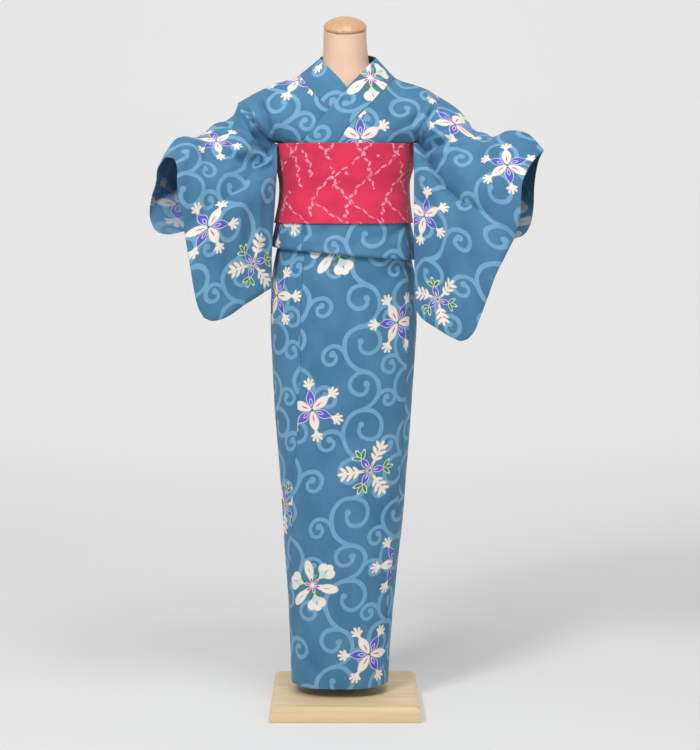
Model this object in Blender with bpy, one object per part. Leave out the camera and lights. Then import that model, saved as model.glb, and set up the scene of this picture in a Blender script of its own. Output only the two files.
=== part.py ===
"""Cotton yukata robe, with its own belt, on a limbless dress form.

Metres, +Z up. The origin is the middle of the base plate's underside, and the robe's front faces -Y.
Turns are angles round the body in degrees, from the centre back towards +X (the wearer's left), so the
front is at 180 for the left pieces and at -180 for the right ones. The layers wind outwards with the turn:
the right front lies innermost and the left front outermost.
"""

import math
from collections import namedtuple

import bpy
import numpy as np

mm = 0.001

clothWall = 1.0 * mm
collarWall = 2.8 * mm
beltWall = 2.4 * mm
seamGap = 0.3 * mm
sleeveSeamGap = {"front": 1.2 * mm, "back": 0.8 * mm}
bodyPartGap, sleevePartGap = 0.7 * mm, 1.5 * mm
formGap = 0.3 * mm

# Layers: how far out a full turn of the skirt and of the upper body lies, and the room inside each fold
# of the tuck.
firstTurn = -335.0
skirtPitch = 2.6 * mm
bodicePitch = 5.0 * mm
wrapTurns = 1.86
foldRoom = 2.4 * mm
returnOut = wrapTurns * skirtPitch + foldRoom
outerOut = returnOut + wrapTurns * skirtPitch + foldRoom
middleTurns = 0.93
bodiceOut = outerOut + middleTurns * skirtPitch

hemHeight = 50 * mm
foldTop = 985 * mm
tuckBottom = 934 * mm
tuckTilt = 13.5 * mm
armpitHeight = 1147 * mm

beltBottom = 990 * mm
beltTop = 1147 * mm
beltStart, beltEnd = -75.0, 345.0
gatherTop = beltBottom + 10 * mm

plateSide = 300 * mm
plateHeight = 30 * mm
plateBevel = 9 * mm
plateBevelDrop = 6.5 * mm
poleRadius = 14 * mm
capTilt = math.radians(20)
capCentre = (0.0, -4 * mm, 1376 * mm)

roundness = 2.3
archPower = 1.8

Ring = namedtuple("Ring", "height halfWidth halfDepth centreX")
bodyRings = [
    Ring(50, 95.6, 78, -11.0),
    Ring(111, 97.8, 79, -9.7),
    Ring(216, 104, 84, -7.6),
    Ring(320, 112.9, 90, -6.0),
    Ring(403, 119.8, 95, -4.4),
    Ring(486, 125.5, 99, -3.5),
    Ring(630, 135.8, 106, -3.3),
    Ring(712, 140.4, 109, -3.2),
    Ring(773, 143.4, 111, -2.7),
    Ring(834, 143.2, 111, -2.6),
    Ring(880, 140.3, 109, -2.9),
    Ring(940, 128.6, 102, -3.0),
    Ring(987, 116.8, 94, -2.0),
    Ring(1045, 107.6, 88.4, 0.0),
    Ring(1073, 107.6, 88.4, 0.0),
    Ring(1102, 114.1, 89.4, 0.8),
    Ring(1147, 115.2, 90.4, 0.0),
]

# Above the armpits the rings widen quickly to the shoulders.
shoulderHalfWidth = 243.2 * mm
shoulderRise = 90 * mm

Ridge = namedtuple("Ridge", "x height")
shoulderRidge = [
    Ridge(-250, 1205), Ridge(-214, 1229), Ridge(-174, 1251), Ridge(-138, 1267), Ridge(-90, 1284),
    Ridge(-50, 1316), Ridge(0, 1345), Ridge(62, 1317), Ridge(98, 1279), Ridge(140, 1264),
    Ridge(166, 1254), Ridge(184, 1243), Ridge(196, 1236), Ridge(230, 1213), Ridge(260, 1190),
]
napeLift, napeReach = 45 * mm, 90 * mm

# The turns of the lengthwise seams of a front, at heights up to the collar.
Seam = namedtuple("Seam", "height overlap free")
frontSeams = [
    Seam(50, 262, 332), Seam(216, 252, 322), Seam(338, 237, 303), Seam(427, 230.8, 296),
    Seam(491, 226.1, 290), Seam(556, 221.2, 285), Seam(640, 218.3, 282), Seam(698, 215.8, 280),
    Seam(784, 213.7, 279), Seam(930, 212.3, 279), Seam(1060, 212.3, 279),
]
sideTurn, armpitTurn, overlapTurn = 121.0, 104.0, 212.3
sideTurnHeight = 1000 * mm

# The collar's outer seam and its free edge, as seen from the front.
CollarRow = namedtuple("CollarRow", "seamX seamZ edgeX edgeZ")
collarRows = {
    "left": [
        CollarRow(98, 1279, 62, 1317), CollarRow(76, 1251, 38, 1291), CollarRow(51, 1224, 4, 1255),
        CollarRow(30, 1204, -16, 1231), CollarRow(10, 1183, -38, 1204), CollarRow(-8, 1157, -62, 1176),
        CollarRow(-28, 1128, -84, 1149), CollarRow(-50, 1096, -106, 1115), CollarRow(-70, 1062, -118, 1080),
    ],
    "right": [
        CollarRow(-90, 1284, -50, 1317), CollarRow(-73, 1257, -33, 1297), CollarRow(-57, 1241, -12, 1275),
        CollarRow(-40, 1222, 4, 1255), CollarRow(-20, 1199, 26, 1228), CollarRow(2, 1173, 48, 1202),
        CollarRow(20, 1150, 70, 1175), CollarRow(38, 1125, 88, 1149), CollarRow(60, 1092, 106, 1115),
        CollarRow(74, 1062, 118, 1080),
    ],
}
# The back neckline, from the middle to the shoulder.
Neckline = namedtuple("Neckline", "x height")
neckline = {
    "left": [Neckline(0, 1286), Neckline(60, 1285), Neckline(98, 1279)],
    "right": [Neckline(0, 1286), Neckline(-50, 1286), Neckline(-90, 1284)],
}
collarBackRise, collarBackDepth = 13 * mm, 66 * mm

# The armhole's front edge, as seen from the front, and the turns of its back edge.
Armhole = namedtuple("Armhole", "x height")
armholeFront = {
    "left": [Armhole(150, 1163), Armhole(166, 1190), Armhole(182, 1217), Armhole(184, 1243)],
    "right": [Armhole(-156, 1158), Armhole(-182, 1184), Armhole(-210, 1212), Armhole(-214, 1229)],
}
ArmholeBack = namedtuple("ArmholeBack", "rise turn")
armholeBack = {
    "left": [ArmholeBack(0, 104), ArmholeBack(0.2, 66), ArmholeBack(0.45, 52), ArmholeBack(1, 42.6)],
    "right": [ArmholeBack(0, 104), ArmholeBack(0.2, 72), ArmholeBack(0.45, 60), ArmholeBack(1, 52)],
}

# How far up the shoulder's arch each row of the upper body lies.
archRows = [0, 0.195, 0.383, 0.584, 0.72, 0.84, 0.93, 0.98, 1]
napeRow = 3

# Sleeves: each boundary as (x, y, z) in millimetres. The front and back layers meet along the top, the
# closed edge and the bottom.
sleeveEdges = {
    "right": {
        "top": [(-214, 0, 1229), (-220, -8, 1207), (-234, -20, 1194), (-256, -36, 1187), (-276, -55, 1169),
                (-297, -75, 1158), (-312, -90, 1160), (-327, -105, 1156), (-349, -130, 1119)],
        "cuffFront": [(-349, -130, 1119), (-330, -150, 1115), (-323, -165, 1101), (-322, -175, 1071),
                      (-320, -175, 1036), (-312, -165, 1007), (-311, -150, 976)],
        "cuffBack": [(-349, -130, 1119), (-365, -115, 1098), (-370, -98, 1073), (-383, -90, 1028),
                     (-384, -92, 1005), (-372, -112, 978), (-342, -140, 970), (-311, -150, 976)],
        "closed": [(-311, -150, 976), (-300, -150, 909), (-292, -150, 858), (-286, -145, 829),
                   (-275, -140, 807)],
        "bottom": [(-146, -60, 862), (-196, -95, 832), (-245, -130, 803), (-260, -136, 801),
                   (-275, -140, 807)],
        "freeFront": [(-140, -62, 1143), (-142, -70, 1110), (-142, -70, 1036), (-145, -66, 937),
                      (-146, -60, 862)],
        "freeBack": [(-156, -4, 1146), (-147, 30, 1112), (-145, 40, 1040), (-157, 34, 960), (-158, -8, 902),
                     (-146, -60, 862)],
        "facing": (0.6, -0.8, 0.0),
    },
    "left": {
        "top": [(184, 0, 1243), (196, -3, 1236), (230, -15, 1211), (245, -25, 1192), (257, -34, 1173),
                (278, -45, 1168), (290, -57, 1160), (320, -80, 1171), (354, -105, 1166), (386, -130, 1133)],
        "cuffFront": [(386, -130, 1133), (370, -150, 1119), (352, -170, 1096), (340, -180, 1067),
                      (338, -185, 1040), (337, -182, 1005), (327, -155, 961)],
        "cuffBack": [(386, -130, 1133), (378, -116, 1114), (374, -104, 1091), (371, -100, 1061),
                     (370, -100, 1024), (364, -115, 992), (346, -142, 968), (327, -155, 961)],
        "closed": [(327, -155, 961), (309, -155, 925), (293, -155, 893), (278, -155, 851), (263, -150, 809),
                   (250, -145, 778), (240, -142, 766)],
        "bottom": [(140, -85, 821), (150, -91, 806), (177, -110, 787), (212, -130, 767), (227, -138, 762),
                   (240, -142, 766)],
        "freeFront": [(137, -66, 1143), (137, -78, 1110), (137, -80, 1060), (137, -85, 957),
                      (140, -85, 821)],
        "freeBack": [(149, -28, 1143), (150, -38, 1110), (150, -40, 1040), (152, -48, 945),
                     (140, -85, 821)],
        "facing": (-0.6, -0.8, 0.0),
    },
}
sleevePuff = 13 * mm

# The largest folds of the sleeves as seen from the front: the ends, half width and depth of each trough.
Fold = namedtuple("Fold", "x1 z1 x2 z2 width depth")
sleeveFolds = {
    "left": [
        Fold(155, 1128, 262, 1150, 13, 9), Fold(190, 1172, 290, 1150, 12, 8),
        Fold(160, 1090, 230, 1112, 14, 5), Fold(250, 1120, 300, 960, 20, 5),
        Fold(190, 1060, 215, 860, 24, 5),
    ],
    "right": [
        Fold(-150, 1116, -205, 1132, 13, 9), Fold(-228, 1178, -262, 1146, 10, 7),
        Fold(-205, 1180, -222, 1130, 10, 6), Fold(-290, 1120, -270, 960, 20, 5),
        Fold(-190, 1090, -205, 900, 24, 5),
    ],
}

FormRing = namedtuple("FormRing", "height halfWidth halfDepth centreX")
chestRings = [
    FormRing(1045, 116.0, 96, 0), FormRing(1073, 117.0, 97, 0), FormRing(1105, 122.0, 98, 0),
    FormRing(1140, 125.0, 99, 0), FormRing(1175, 134.0, 99, 0), FormRing(1205, 144.0, 94, 0),
    FormRing(1228, 142.0, 85, 0), FormRing(1250, 124.0, 72, 0), FormRing(1268, 98.0, 62, 0),
    FormRing(1284, 68.0, 54, 0), FormRing(1298, 51.0, 48, 0.5), FormRing(1315, 45.5, 46, 1),
    FormRing(1334, 44.5, 45, 0.5), FormRing(1352, 43.2, 43.2, 0),
]

# Colours are linear.
Finish = namedtuple("Finish", "colour roughness")
finishes = {
    "cotton": Finish((0.085, 0.225, 0.40), 0.85),
    "cottonShade": Finish((0.075, 0.205, 0.37), 0.85),
    "belt": Finish((0.70, 0.04, 0.10), 0.7),
    "skin": Finish((0.82, 0.58, 0.41), 0.6),
    "wood": Finish((0.72, 0.53, 0.32), 0.35),
    "steel": Finish((0.55, 0.55, 0.55), 0.35),
}


def spline(rows, at):
    """Smooth values through a table's rows, whose first column is the key."""
    table = np.array(rows, float)
    key, value = table[:, 0], table[:, 1:]
    slope = np.gradient(value, key, axis=0)
    at = np.clip(np.asarray(at, float), key[0], key[-1])
    i = np.clip(np.searchsorted(key, at, side="right") - 1, 0, len(key) - 2)
    step = key[i + 1] - key[i]
    u = ((at - key[i]) / step)[..., None]
    step = step[..., None]
    found = (
        (2 * u**3 - 3 * u**2 + 1) * value[i]
        + (u**3 - 2 * u**2 + u) * step * slope[i]
        + (3 * u**2 - 2 * u**3) * value[i + 1]
        + (u**3 - u**2) * step * slope[i + 1]
    )
    return found[..., 0] if value.shape[1] == 1 else found


def route(points, at):
    """Points of a smooth curve through the given ones, at shares of its length."""
    points = np.array(points, float)
    lengths = np.linalg.norm(np.diff(points, axis=0), axis=1)
    key = np.concatenate([[0], np.cumsum(lengths)]) / lengths.sum()
    return spline(np.column_stack([key, points]), at)


def ease(value):
    value = np.clip(value, 0, 1)
    return value * value * (3 - 2 * value)


def ringAt(z):
    """Half width, half depth and centre of the innermost layer at this height."""
    half, depth, centre = np.moveaxis(spline(bodyRings, np.minimum(z, armpitHeight) / mm) * mm, -1, 0)
    rise = np.clip((z - armpitHeight) / shoulderRise, 0, 1)
    half = half + (shoulderHalfWidth - half) * (1 - (1 - rise) ** 2)
    return half, depth, centre


def unitRing(turn):
    """Where a turn lies on a ring of half width and half depth 1."""
    s, c = np.sin(np.radians(turn)), np.cos(np.radians(turn))
    scale = (np.abs(s) ** roundness + np.abs(c) ** roundness) ** (-1 / roundness)
    return s * scale, c * scale


def ringPoint(turn, z, out):
    half, depth, centre = ringAt(z)
    s, c = unitRing(turn)
    return np.stack(np.broadcast_arrays(centre + (half + out) * s, (depth + out) * c, z), -1)


def ridgeHeight(x, back):
    height = spline(shoulderRidge, x / mm) * mm
    lift = np.clip(1 - (x / napeReach) ** 2, 0, 1) ** 2
    return height + np.where(back, napeLift * lift, 0)


def turnsOf(turn):
    return (turn - firstTurn) / 360


def bodiceOutAt(turn):
    return bodiceOut + (turnsOf(turn) - middleTurns) * bodicePitch


shoulderGuess = 110 * mm
settleSteps = 40


def archPoint(turn, rise, out):
    """A point of the upper body: rise goes from 0 at the armpits to 1 on the shoulder's ridge.

    The height depends on x and x on the height, so both settle together in steps.
    """
    s, c = unitRing(turn)
    turn, rise, out = np.broadcast_arrays(turn, rise, out)
    z = armpitHeight + rise * shoulderGuess
    for _ in range(settleSteps):
        half, depth, centre = ringAt(z)
        x = centre + (half + out) * s
        z = 0.5 * z + 0.5 * (armpitHeight + rise * (ridgeHeight(x, c > 0) - armpitHeight))
    arch = (1 - np.clip(rise, 0, 1) ** archPower) ** (1 / archPower)
    return np.stack([x, (depth + out) * c * arch, z], -1)


def turnAt(x, z, front, sign, out=bodiceOut):
    """The turn and rise of a point of the upper body seen from the front."""
    half, _, centre = ringAt(z)
    share = np.clip((x - centre) / (half + out), -1, 1)
    angle = np.degrees(np.arctan2(share, (1 - np.abs(share) ** roundness) ** (1 / roundness)))
    rise = (z - armpitHeight) / (ridgeHeight(x, not front) - armpitHeight)
    return (sign * 180 - angle if front else angle), np.clip(rise, 0, 1)


frontSteps = 3


def frontPoint(x, z, sign):
    """The point of the front layer on this side that is seen at x, z.

    How far out it lies depends on its turn, and the turn on that, so both settle together in steps.
    """
    out = bodiceOut
    for _ in range(frontSteps):
        half, depth, centre = ringAt(z)
        share = np.clip((x - centre) / (half + out), -1, 1)
        across = (1 - np.abs(share) ** roundness) ** (1 / roundness)
        turn = sign * 180 - np.degrees(np.arctan2(share, across))
        out = bodiceOutAt(turn)
    rise = np.clip((z - armpitHeight) / (ridgeHeight(x, False) - armpitHeight), 0, 1)
    arch = (1 - rise**archPower) ** (1 / archPower)
    return np.stack([x, -(depth + out) * across * arch, z], -1)


def edgeTurn(rows, front, sign, rises):
    """The turns, at these rises, of an edge given as it is seen from the front."""
    table = np.array(rows, float) * mm
    turn, rise = turnAt(table[:, 0], table[:, 1], front, sign)
    order = np.argsort(rise)
    return np.interp(rises, rise[order], turn[order])


# The length of a panel in zones, from the hem up. The upper fold, return and lower fold make the tuck.
skirtZone, upperFold, returnZone, lowerFold, outerZone = range(5)
zoneRows = {upperFold: 4, returnZone: 2, lowerFold: 4, outerZone: 6}
skirtHeights = [50, 130, 216, 320, 420, 520, 630, 730, 810, 870, 915, 950, 985]


def tuckBottomAt(turn):
    return tuckBottom - tuckTilt * np.sin(np.radians(turn))


def lengthPoint(turn, zone, share, top=armpitHeight):
    """A point of the cloth below the armpits, share of the way up its zone."""
    winds = turnsOf(turn)
    skirtOut = winds * skirtPitch
    backOut = returnOut + (wrapTurns - winds) * skirtPitch
    faceOut = outerOut + winds * skirtPitch
    low = tuckBottomAt(turn)
    if zone == skirtZone:
        return ringPoint(turn, hemHeight + share * (foldTop - hemHeight), skirtOut)
    if zone == returnZone:
        return ringPoint(turn, foldTop + share * (low - foldTop), backOut)
    if zone == outerZone:
        z = low + share * (top - low)
        mix = ease((z - low) / (gatherTop - low))
        return ringPoint(turn, z, faceOut + mix * (bodiceOutAt(turn) - faceOut))
    inner, outer, level, up = (
        (skirtOut, backOut, foldTop, 1) if zone == upperFold else (backOut, faceOut, low, -1)
    )
    radius = (outer - inner) / 2
    angle = math.pi * share
    ring = ringPoint(turn, level + 0 * radius, inner + radius * (1 - np.cos(angle)))
    ring[..., 2] += up * radius * np.sin(angle)
    return ring


def zoneSteps():
    """The rows below the armpits, from the hem up, as (zone, share) pairs."""
    steps = [(skirtZone, (z * mm - hemHeight) / (foldTop - hemHeight)) for z in skirtHeights]
    for zone, count in zoneRows.items():
        steps += [(zone, i / count) for i in range(1, count + 1)]
    return steps


def heightOf(zone, share, turn, top=armpitHeight):
    """The height of a row near this turn, without its folds' rounding."""
    low = tuckBottomAt(turn)
    ends = {
        skirtZone: (hemHeight, foldTop), upperFold: (foldTop, foldTop), returnZone: (foldTop, low),
        lowerFold: (low, low), outerZone: (low, top),
    }[zone]
    return ends[0] + share * (ends[1] - ends[0])


def sideTurnAt(z):
    return sideTurn + (armpitTurn - sideTurn) * ease((z - sideTurnHeight) / (armpitHeight - sideTurnHeight))


# The collar's seam is followed from this many millimetres above the armpits down.
collarSeamReach = 40


def frontEdgeAt(side, sign, z):
    """The turn of a front's inner edge: the overlap's seam, then the collar's."""
    seam = spline([(row.height, row.overlap) for row in frontSeams], z / mm)
    rows = [row for row in collarRows[side] if row.seamZ < armpitHeight / mm + collarSeamReach]
    table = np.array([(row.seamZ, row.seamX) for row in rows][::-1], float) * mm
    x = np.interp(z, table[:, 0], table[:, 1])
    half, _, centre = ringAt(np.asarray(z, float))
    share = np.clip((x - centre) / (half + bodiceOut), -1, 1)
    angle = np.degrees(np.arctan2(share, (1 - np.abs(share) ** roundness) ** (1 / roundness)))
    return np.where(z > table[0, 0], np.minimum(180 - sign * angle, seam), seam)


seamTurn = math.degrees(seamGap / 2 / (90 * mm))
sideSeamTurn = 1.7 * seamTurn


def across(inner, outer, count):
    """Even turns from a panel's inner seam to its outer one, held in from both by a small turn."""
    step = 1 if outer > inner else -1
    return np.linspace(inner + step * seamTurn, outer - step * sideSeamTurn, count + 1)


panelColumns = 10


def backRows(side, sign):
    """A back's rows from its hem to the shoulder's ridge."""
    rows = []
    for zone, share in zoneSteps():
        outer = sideTurnAt(heightOf(zone, share, sign * sideTurn))
        rows.append(lengthPoint(sign * across(0, outer, panelColumns), zone, share))
    rises = np.array(archRows[1:])
    outer = spline(armholeBack[side], rises)
    neckRows = neckline[side]
    inner = np.where(rises > archRows[napeRow], sign * edgeTurn(neckRows, False, sign, rises), 0)
    for k, rise in enumerate(rises):
        turn = sign * across(inner[k], outer[k], panelColumns)
        rows.append(archPoint(turn, rise, bodiceOutAt(turn)))
    return rows


def drawnBack(row, towards, gap):
    """A row of points, moved by a gap towards another row."""
    way = towards - row
    return row + way * gap / np.linalg.norm(way, axis=1, keepdims=True)


def parted(grid, row, gap):
    """A grid as two, with a gap past this row.

    The walls' rims tilt with the bend there, so the middle surfaces lie over a seam's gap apart.
    """
    edge = drawnBack(grid[row], grid[row + 1], gap)
    return grid[: row + 1], np.concatenate([edge[None], grid[row + 1 :]])


def bodyPanels(side):
    """One body length as four grids, each from its lower edge up.

    The back and the front part along the shoulder's ridge, and the skirt and the top inside the tuck.
    """
    sign = 1 if side == "left" else -1
    back, front = backRows(side, sign), frontRows(side, sign)
    front.append(drawnBack(back[-1], front[-1], bodyPartGap))
    foldRow = len(skirtHeights) - 1
    found = {}
    for half, rows in (("back", back), ("front", front)):
        found[f"{half}_skirt"], found[f"{half}_top"] = parted(np.array(rows), foldRow, bodyPartGap)
    return found


def frontRows(side, sign):
    """A front's rows from its hem to just below the ridge."""
    rows = []
    for zone, share in zoneSteps():
        outer = sideTurnAt(heightOf(zone, share, sign * sideTurn))
        inner = float(frontEdgeAt(side, sign, heightOf(zone, share, sign * overlapTurn)))
        turn = sign * across(inner, outer, panelColumns)
        rows.append(lengthPoint(turn, zone, share))
    rises = np.array(archRows[1:-1])
    outer = sign * armholeTurn(side, sign, rises)
    inner = sign * collarTurn(side, sign, rises)
    for k, rise in enumerate(rises):
        turn = sign * across(inner[k], outer[k], panelColumns)
        rows.append(archPoint(turn, rise, bodiceOutAt(turn)))
    return rows


def armholeTurn(side, sign, rises):
    low = archPoint(np.array(sign * armpitTurn), np.array(0.0), bodiceOut)
    rows = [(low[0] / mm, low[2] / mm)] + [tuple(row) for row in armholeFront[side]]
    table = np.array(rows, float) * mm
    turn, rise = turnAt(table[:, 0], table[:, 1], True, sign)
    turn[0] = sign * armpitTurn
    return np.interp(rises, rise, turn)


def collarTurn(side, sign, rises):
    rows = [(row.seamX, row.seamZ) for row in collarRows[side]]
    low = frontEdgeAt(side, sign, armpitHeight)
    turn, rise = turnAt(*(np.array(rows, float).T * mm), True, sign)
    keep = rise > 0
    turn, rise = np.append(sign * low, turn[keep][::-1]), np.append(0, rise[keep][::-1])
    return np.interp(rises, rise, turn)


overlapColumns = 8
overlapTop, overlapTopEnd = 1050 * mm, 1005 * mm


def overlapPanel(side):
    """The narrow front panel, from its hem to under the belt, where its top slants along the collar."""
    sign = 1 if side == "left" else -1
    rows = []
    for zone, share in zoneSteps():
        z = heightOf(zone, share, sign * overlapTurn, overlapTop)
        seam, free = spline([tuple(row) for row in frontSeams], z / mm)
        turn = np.linspace(seam + 2 * seamTurn, free, overlapColumns + 1)
        top = overlapTop + (turn - seam) / (free - seam) * (overlapTopEnd - overlapTop)
        rows.append(lengthPoint(sign * turn, zone, share, top))
    return np.array(rows)


# Where each column of the collar lies from its seam to its free edge.
collarShares = [0.014, 0.25, 0.5, 0.75, 1.0]


def collarBand():
    """The folded collar as a grid: rows along it from the right end round the neck to the left end."""
    columns = np.array(collarShares)
    halves = {}
    for side, sign in (("left", 1), ("right", -1)):
        table = np.array(collarRows[side], float) * mm
        rows = []
        backRises = archRows[napeRow:]
        edgeX = table[0, 2]
        for rise in backRises:
            turn = edgeTurn(neckline[side], False, sign, rise) if rise > backRises[0] else 0.0
            turn = np.array(float(turn))
            seam = archPoint(turn, np.array(rise), bodiceOutAt(turn))
            swing = (1 - rise) / (1 - backRises[0]) * math.pi / 2
            edge = np.array([
                edgeX * math.cos(swing), collarBackDepth * math.sin(swing),
                table[0, 3] + collarBackRise * math.sin(swing),
            ])
            rows.append(seam + columns[:, None] * (edge - seam))
        for rise in archRows[-2:0:-1]:
            turn = np.array(float(collarTurn(side, sign, rise)))
            seam = archPoint(turn, np.array(rise), bodiceOutAt(turn))
            rows.append(collarRow(table, seam[0], seam[2], columns, sign))
        for z in collarHeights(sign, table[-1, 1]):
            turn = sign * float(frontEdgeAt(side, sign, z))
            seam = ringPoint(np.array(turn), z, bodiceOutAt(turn))
            rows.append(collarRow(table, seam[0], seam[2], columns, sign))
        halves[side] = rows
    return np.array(halves["right"][::-1] + halves["left"][1:])


leastStep = 5 * mm


def collarHeights(sign, end):
    """Heights of the collar's rows below the armpits: the body's own, then the collar's end."""
    count = zoneRows[outerZone]
    heights = [heightOf(outerZone, i / count, sign * overlapTurn) for i in range(count, 0, -1)]
    return [z for z in heights if z > end + leastStep] + [end]


def collarRow(table, x, z, columns, sign):
    """One cross row of the collar on a front, from its seam at x, z to its free edge."""
    key = table[::-1, 1]
    edge = np.array([np.interp(z, key, table[::-1, 2]), np.interp(z, key, table[::-1, 3])])
    places = np.array([x, z]) + columns[:, None] * (edge - np.array([x, z]))
    return frontPoint(places[:, 0], places[:, 1], sign)


beltColumns, beltRows = 44, 6
beltClear = collarWall / 2 + 1.3 * mm
beltFlare, flareStart = 1.3 * mm, 0.6


def beltBand():
    """The belt as a grid, its top flaring a little over the collar."""
    turn = np.linspace(beltStart, beltEnd, beltColumns + 1)
    out = bodiceOutAt(turn) + beltClear + beltWall / 2
    rows = []
    for share in np.linspace(0, 1, beltRows + 1):
        z = beltBottom + share * (beltTop - beltBottom)
        flare = beltFlare * ease((share - flareStart) / (1 - flareStart))
        rows.append(ringPoint(turn, z, out + flare))
    return np.array(rows)


sleeveColumns = [0, 0.07, 0.15, 0.23, 0.31, 0.39, 0.47, 0.55, 0.63, 0.71, 0.79, 0.87, 0.94, 0.98, 1]
freeShares = [0, 0.12, 0.26, 0.40, 0.55, 0.70, 0.84, 0.96, 1]
closedShares = [0.14, 0.28, 0.42, 0.56, 0.70, 0.84, 0.95, 1]
cuffRows = 8


def patch(top, bottom, inner, outer, columns):
    """A Coons patch: rows run from the inner to the outer boundary."""
    u = np.array(columns)[None, :, None]
    v = np.linspace(0, 1, len(inner))[:, None, None]
    blend = (1 - v) * top[None] + v * bottom[None] + (1 - u) * inner[:, None] + u * outer[:, None]
    corners = (
        (1 - v) * (1 - u) * top[0] + (1 - v) * u * top[-1] + v * (1 - u) * bottom[0] + v * u * bottom[-1]
    )
    return blend - corners


def armholeEdge(side, sign, front):
    """The armhole's edge from the ridge down, at the body's own rows."""
    rises = np.array(archRows[:0:-1])
    turn = armholeTurn(side, sign, rises) if front else sign * spline(armholeBack[side], rises)
    return archPoint(turn, rises, bodiceOutAt(turn))


swellReach, steepShare = 0.07, 0.55


def swell(share):
    """0 at both ends of 0..1, rising steeply near them and gently to the middle."""
    near = np.clip(np.minimum(share, 1 - share) / swellReach, 0, 1)
    return steepShare * np.sqrt(near) + (1 - steepShare) * np.sin(math.pi * share)


seamSide = 4
cuffFlatness = 6


def sleeveLayer(side, sign, front):
    """One layer of a sleeve, from the armhole and its free edge to the cuff and the closed edge.

    The two layers lie a seam's gap apart along the top, the bottom and the closed edge.
    """
    edges = sleeveEdges[side]
    columns = np.array(sleeveColumns)
    gap = sleeveSeamGap["front" if front else "back"]
    away = np.array([sign * gap, 0, -gap / 2])
    free = route(edges["freeFront" if front else "freeBack"], freeShares) * mm
    inner = np.concatenate([armholeEdge(side, sign, front) + away, free])
    cuff = route(edges["cuffFront" if front else "cuffBack"], np.linspace(0, 1, cuffRows + 1))
    outer = np.concatenate([cuff, route(edges["closed"], closedShares)]) * mm
    top = route(edges["top"], columns) * mm
    top[0] = inner[0]
    bottom = route(edges["bottom"], columns) * mm
    layer = patch(top, bottom, inner, outer, columns)
    down = np.linspace(0, 1, len(layer))
    atCuff = np.sin(math.pi * columns / 2) * (1 - columns**cuffFlatness)
    belowCuff = np.minimum(1, columns * seamSide) * swell(0.5 + columns / 2)
    share = np.where(np.arange(len(layer))[:, None] <= cuffRows, atCuff, belowCuff) * swell(down)[:, None]
    facing = np.array(edges["facing"]) * (1 if front else -1)
    depth = foldDepth(side, layer) * np.minimum(1, foldFade * share)
    apart = (clothWall + seamGap) / 2
    return layer + (apart + sleevePuff * share - depth)[..., None] * facing


foldEnds = 0.15, 0.85
foldFade = 4.0


def foldDepth(side, points):
    """How deep the named folds press each point in."""
    depth = np.zeros(points.shape[:-1])
    place = points[..., [0, 2]] / mm
    for fold in sleeveFolds[side]:
        start, end = np.array([fold.x1, fold.z1]), np.array([fold.x2, fold.z2])
        along = end - start
        share = np.clip(((place - start) @ along) / (along @ along), 0, 1)
        off = np.linalg.norm(place - start - share[..., None] * along, axis=-1) / fold.width
        depth += fold.depth * mm * np.exp(-(off**2)) * np.sin(math.pi * np.clip(share, *foldEnds))
    return depth


def gridQuads(rows, columns):
    return quadsOf(np.arange(rows * columns).reshape(rows, columns))


def quadsOf(index):
    return np.stack([index[:-1, :-1], index[:-1, 1:], index[1:, 1:], index[1:, :-1]], -1).reshape(-1, 4)


def shortSplit(points, quads):
    """The quads, each turned so that its first and third corners are its nearer pair of opposite ones."""
    corners = points[quads]
    first = np.linalg.norm(corners[:, 2] - corners[:, 0], axis=1)
    second = np.linalg.norm(corners[:, 3] - corners[:, 1], axis=1)
    return np.where((first <= second)[:, None], quads, np.roll(quads, 1, axis=1))


def wallOf(points, quads, thickness):
    """A closed wall round a middle surface: both faces moved out along its normals, and its rims."""
    quads = shortSplit(points, quads)
    corners = points[quads]
    facet = np.cross(corners[:, 2] - corners[:, 0], corners[:, 3] - corners[:, 1])
    normal = np.zeros_like(points)
    for k in range(4):
        np.add.at(normal, quads[:, k], facet)
    normal /= np.linalg.norm(normal, axis=1, keepdims=True)
    outside = points + normal * thickness / 2
    inside = points - normal * thickness / 2
    count = len(points)
    edges = np.concatenate([quads[:, [k, (k + 1) % 4]] for k in range(4)])
    seen = {tuple(edge) for edge in edges.tolist()}
    rims = [(b, a, a + count, b + count) for a, b in seen if (b, a) not in seen]
    inner = np.roll(quads[:, ::-1], 1, axis=1) + count
    faces = quads.tolist() + inner.tolist() + rims
    return np.concatenate([outside, inside]), faces


def facingOut(points, faces):
    """The faces of a closed solid, turned round if its volume comes out negative."""
    volume = 0
    for face in faces:
        first = points[face[0]]
        for b, c in zip(face[1:-1], face[2:]):
            volume += np.dot(first, np.cross(points[b], points[c]))
    return [tuple(face) if volume > 0 else tuple(face)[::-1] for face in faces]


def addMesh(name, points, faces, finish):
    mesh = bpy.data.meshes.new(name)
    mesh.from_pydata(points.tolist(), [], facingOut(points, faces))
    mesh.update()
    obj = bpy.data.objects.new(name, mesh)
    bpy.context.scene.collection.objects.link(obj)
    mesh.materials.append(material(finish))
    mesh.shade_smooth()
    mesh.set_sharp_from_angle(angle=math.radians(40))
    return obj


def material(finish):
    found = bpy.data.materials.get(finish)
    if found:
        return found
    made = bpy.data.materials.new(finish)
    made.use_nodes = True
    shader = made.node_tree.nodes["Principled BSDF"]
    shader.inputs["Base Color"].default_value = (*finishes[finish].colour, 1)
    shader.inputs["Roughness"].default_value = finishes[finish].roughness
    return made


def addCloth(name, grid, thickness, finish):
    return addMesh(name, *wallOf(grid.reshape(-1, 3), gridQuads(*grid.shape[:2]), thickness), finish)


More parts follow.
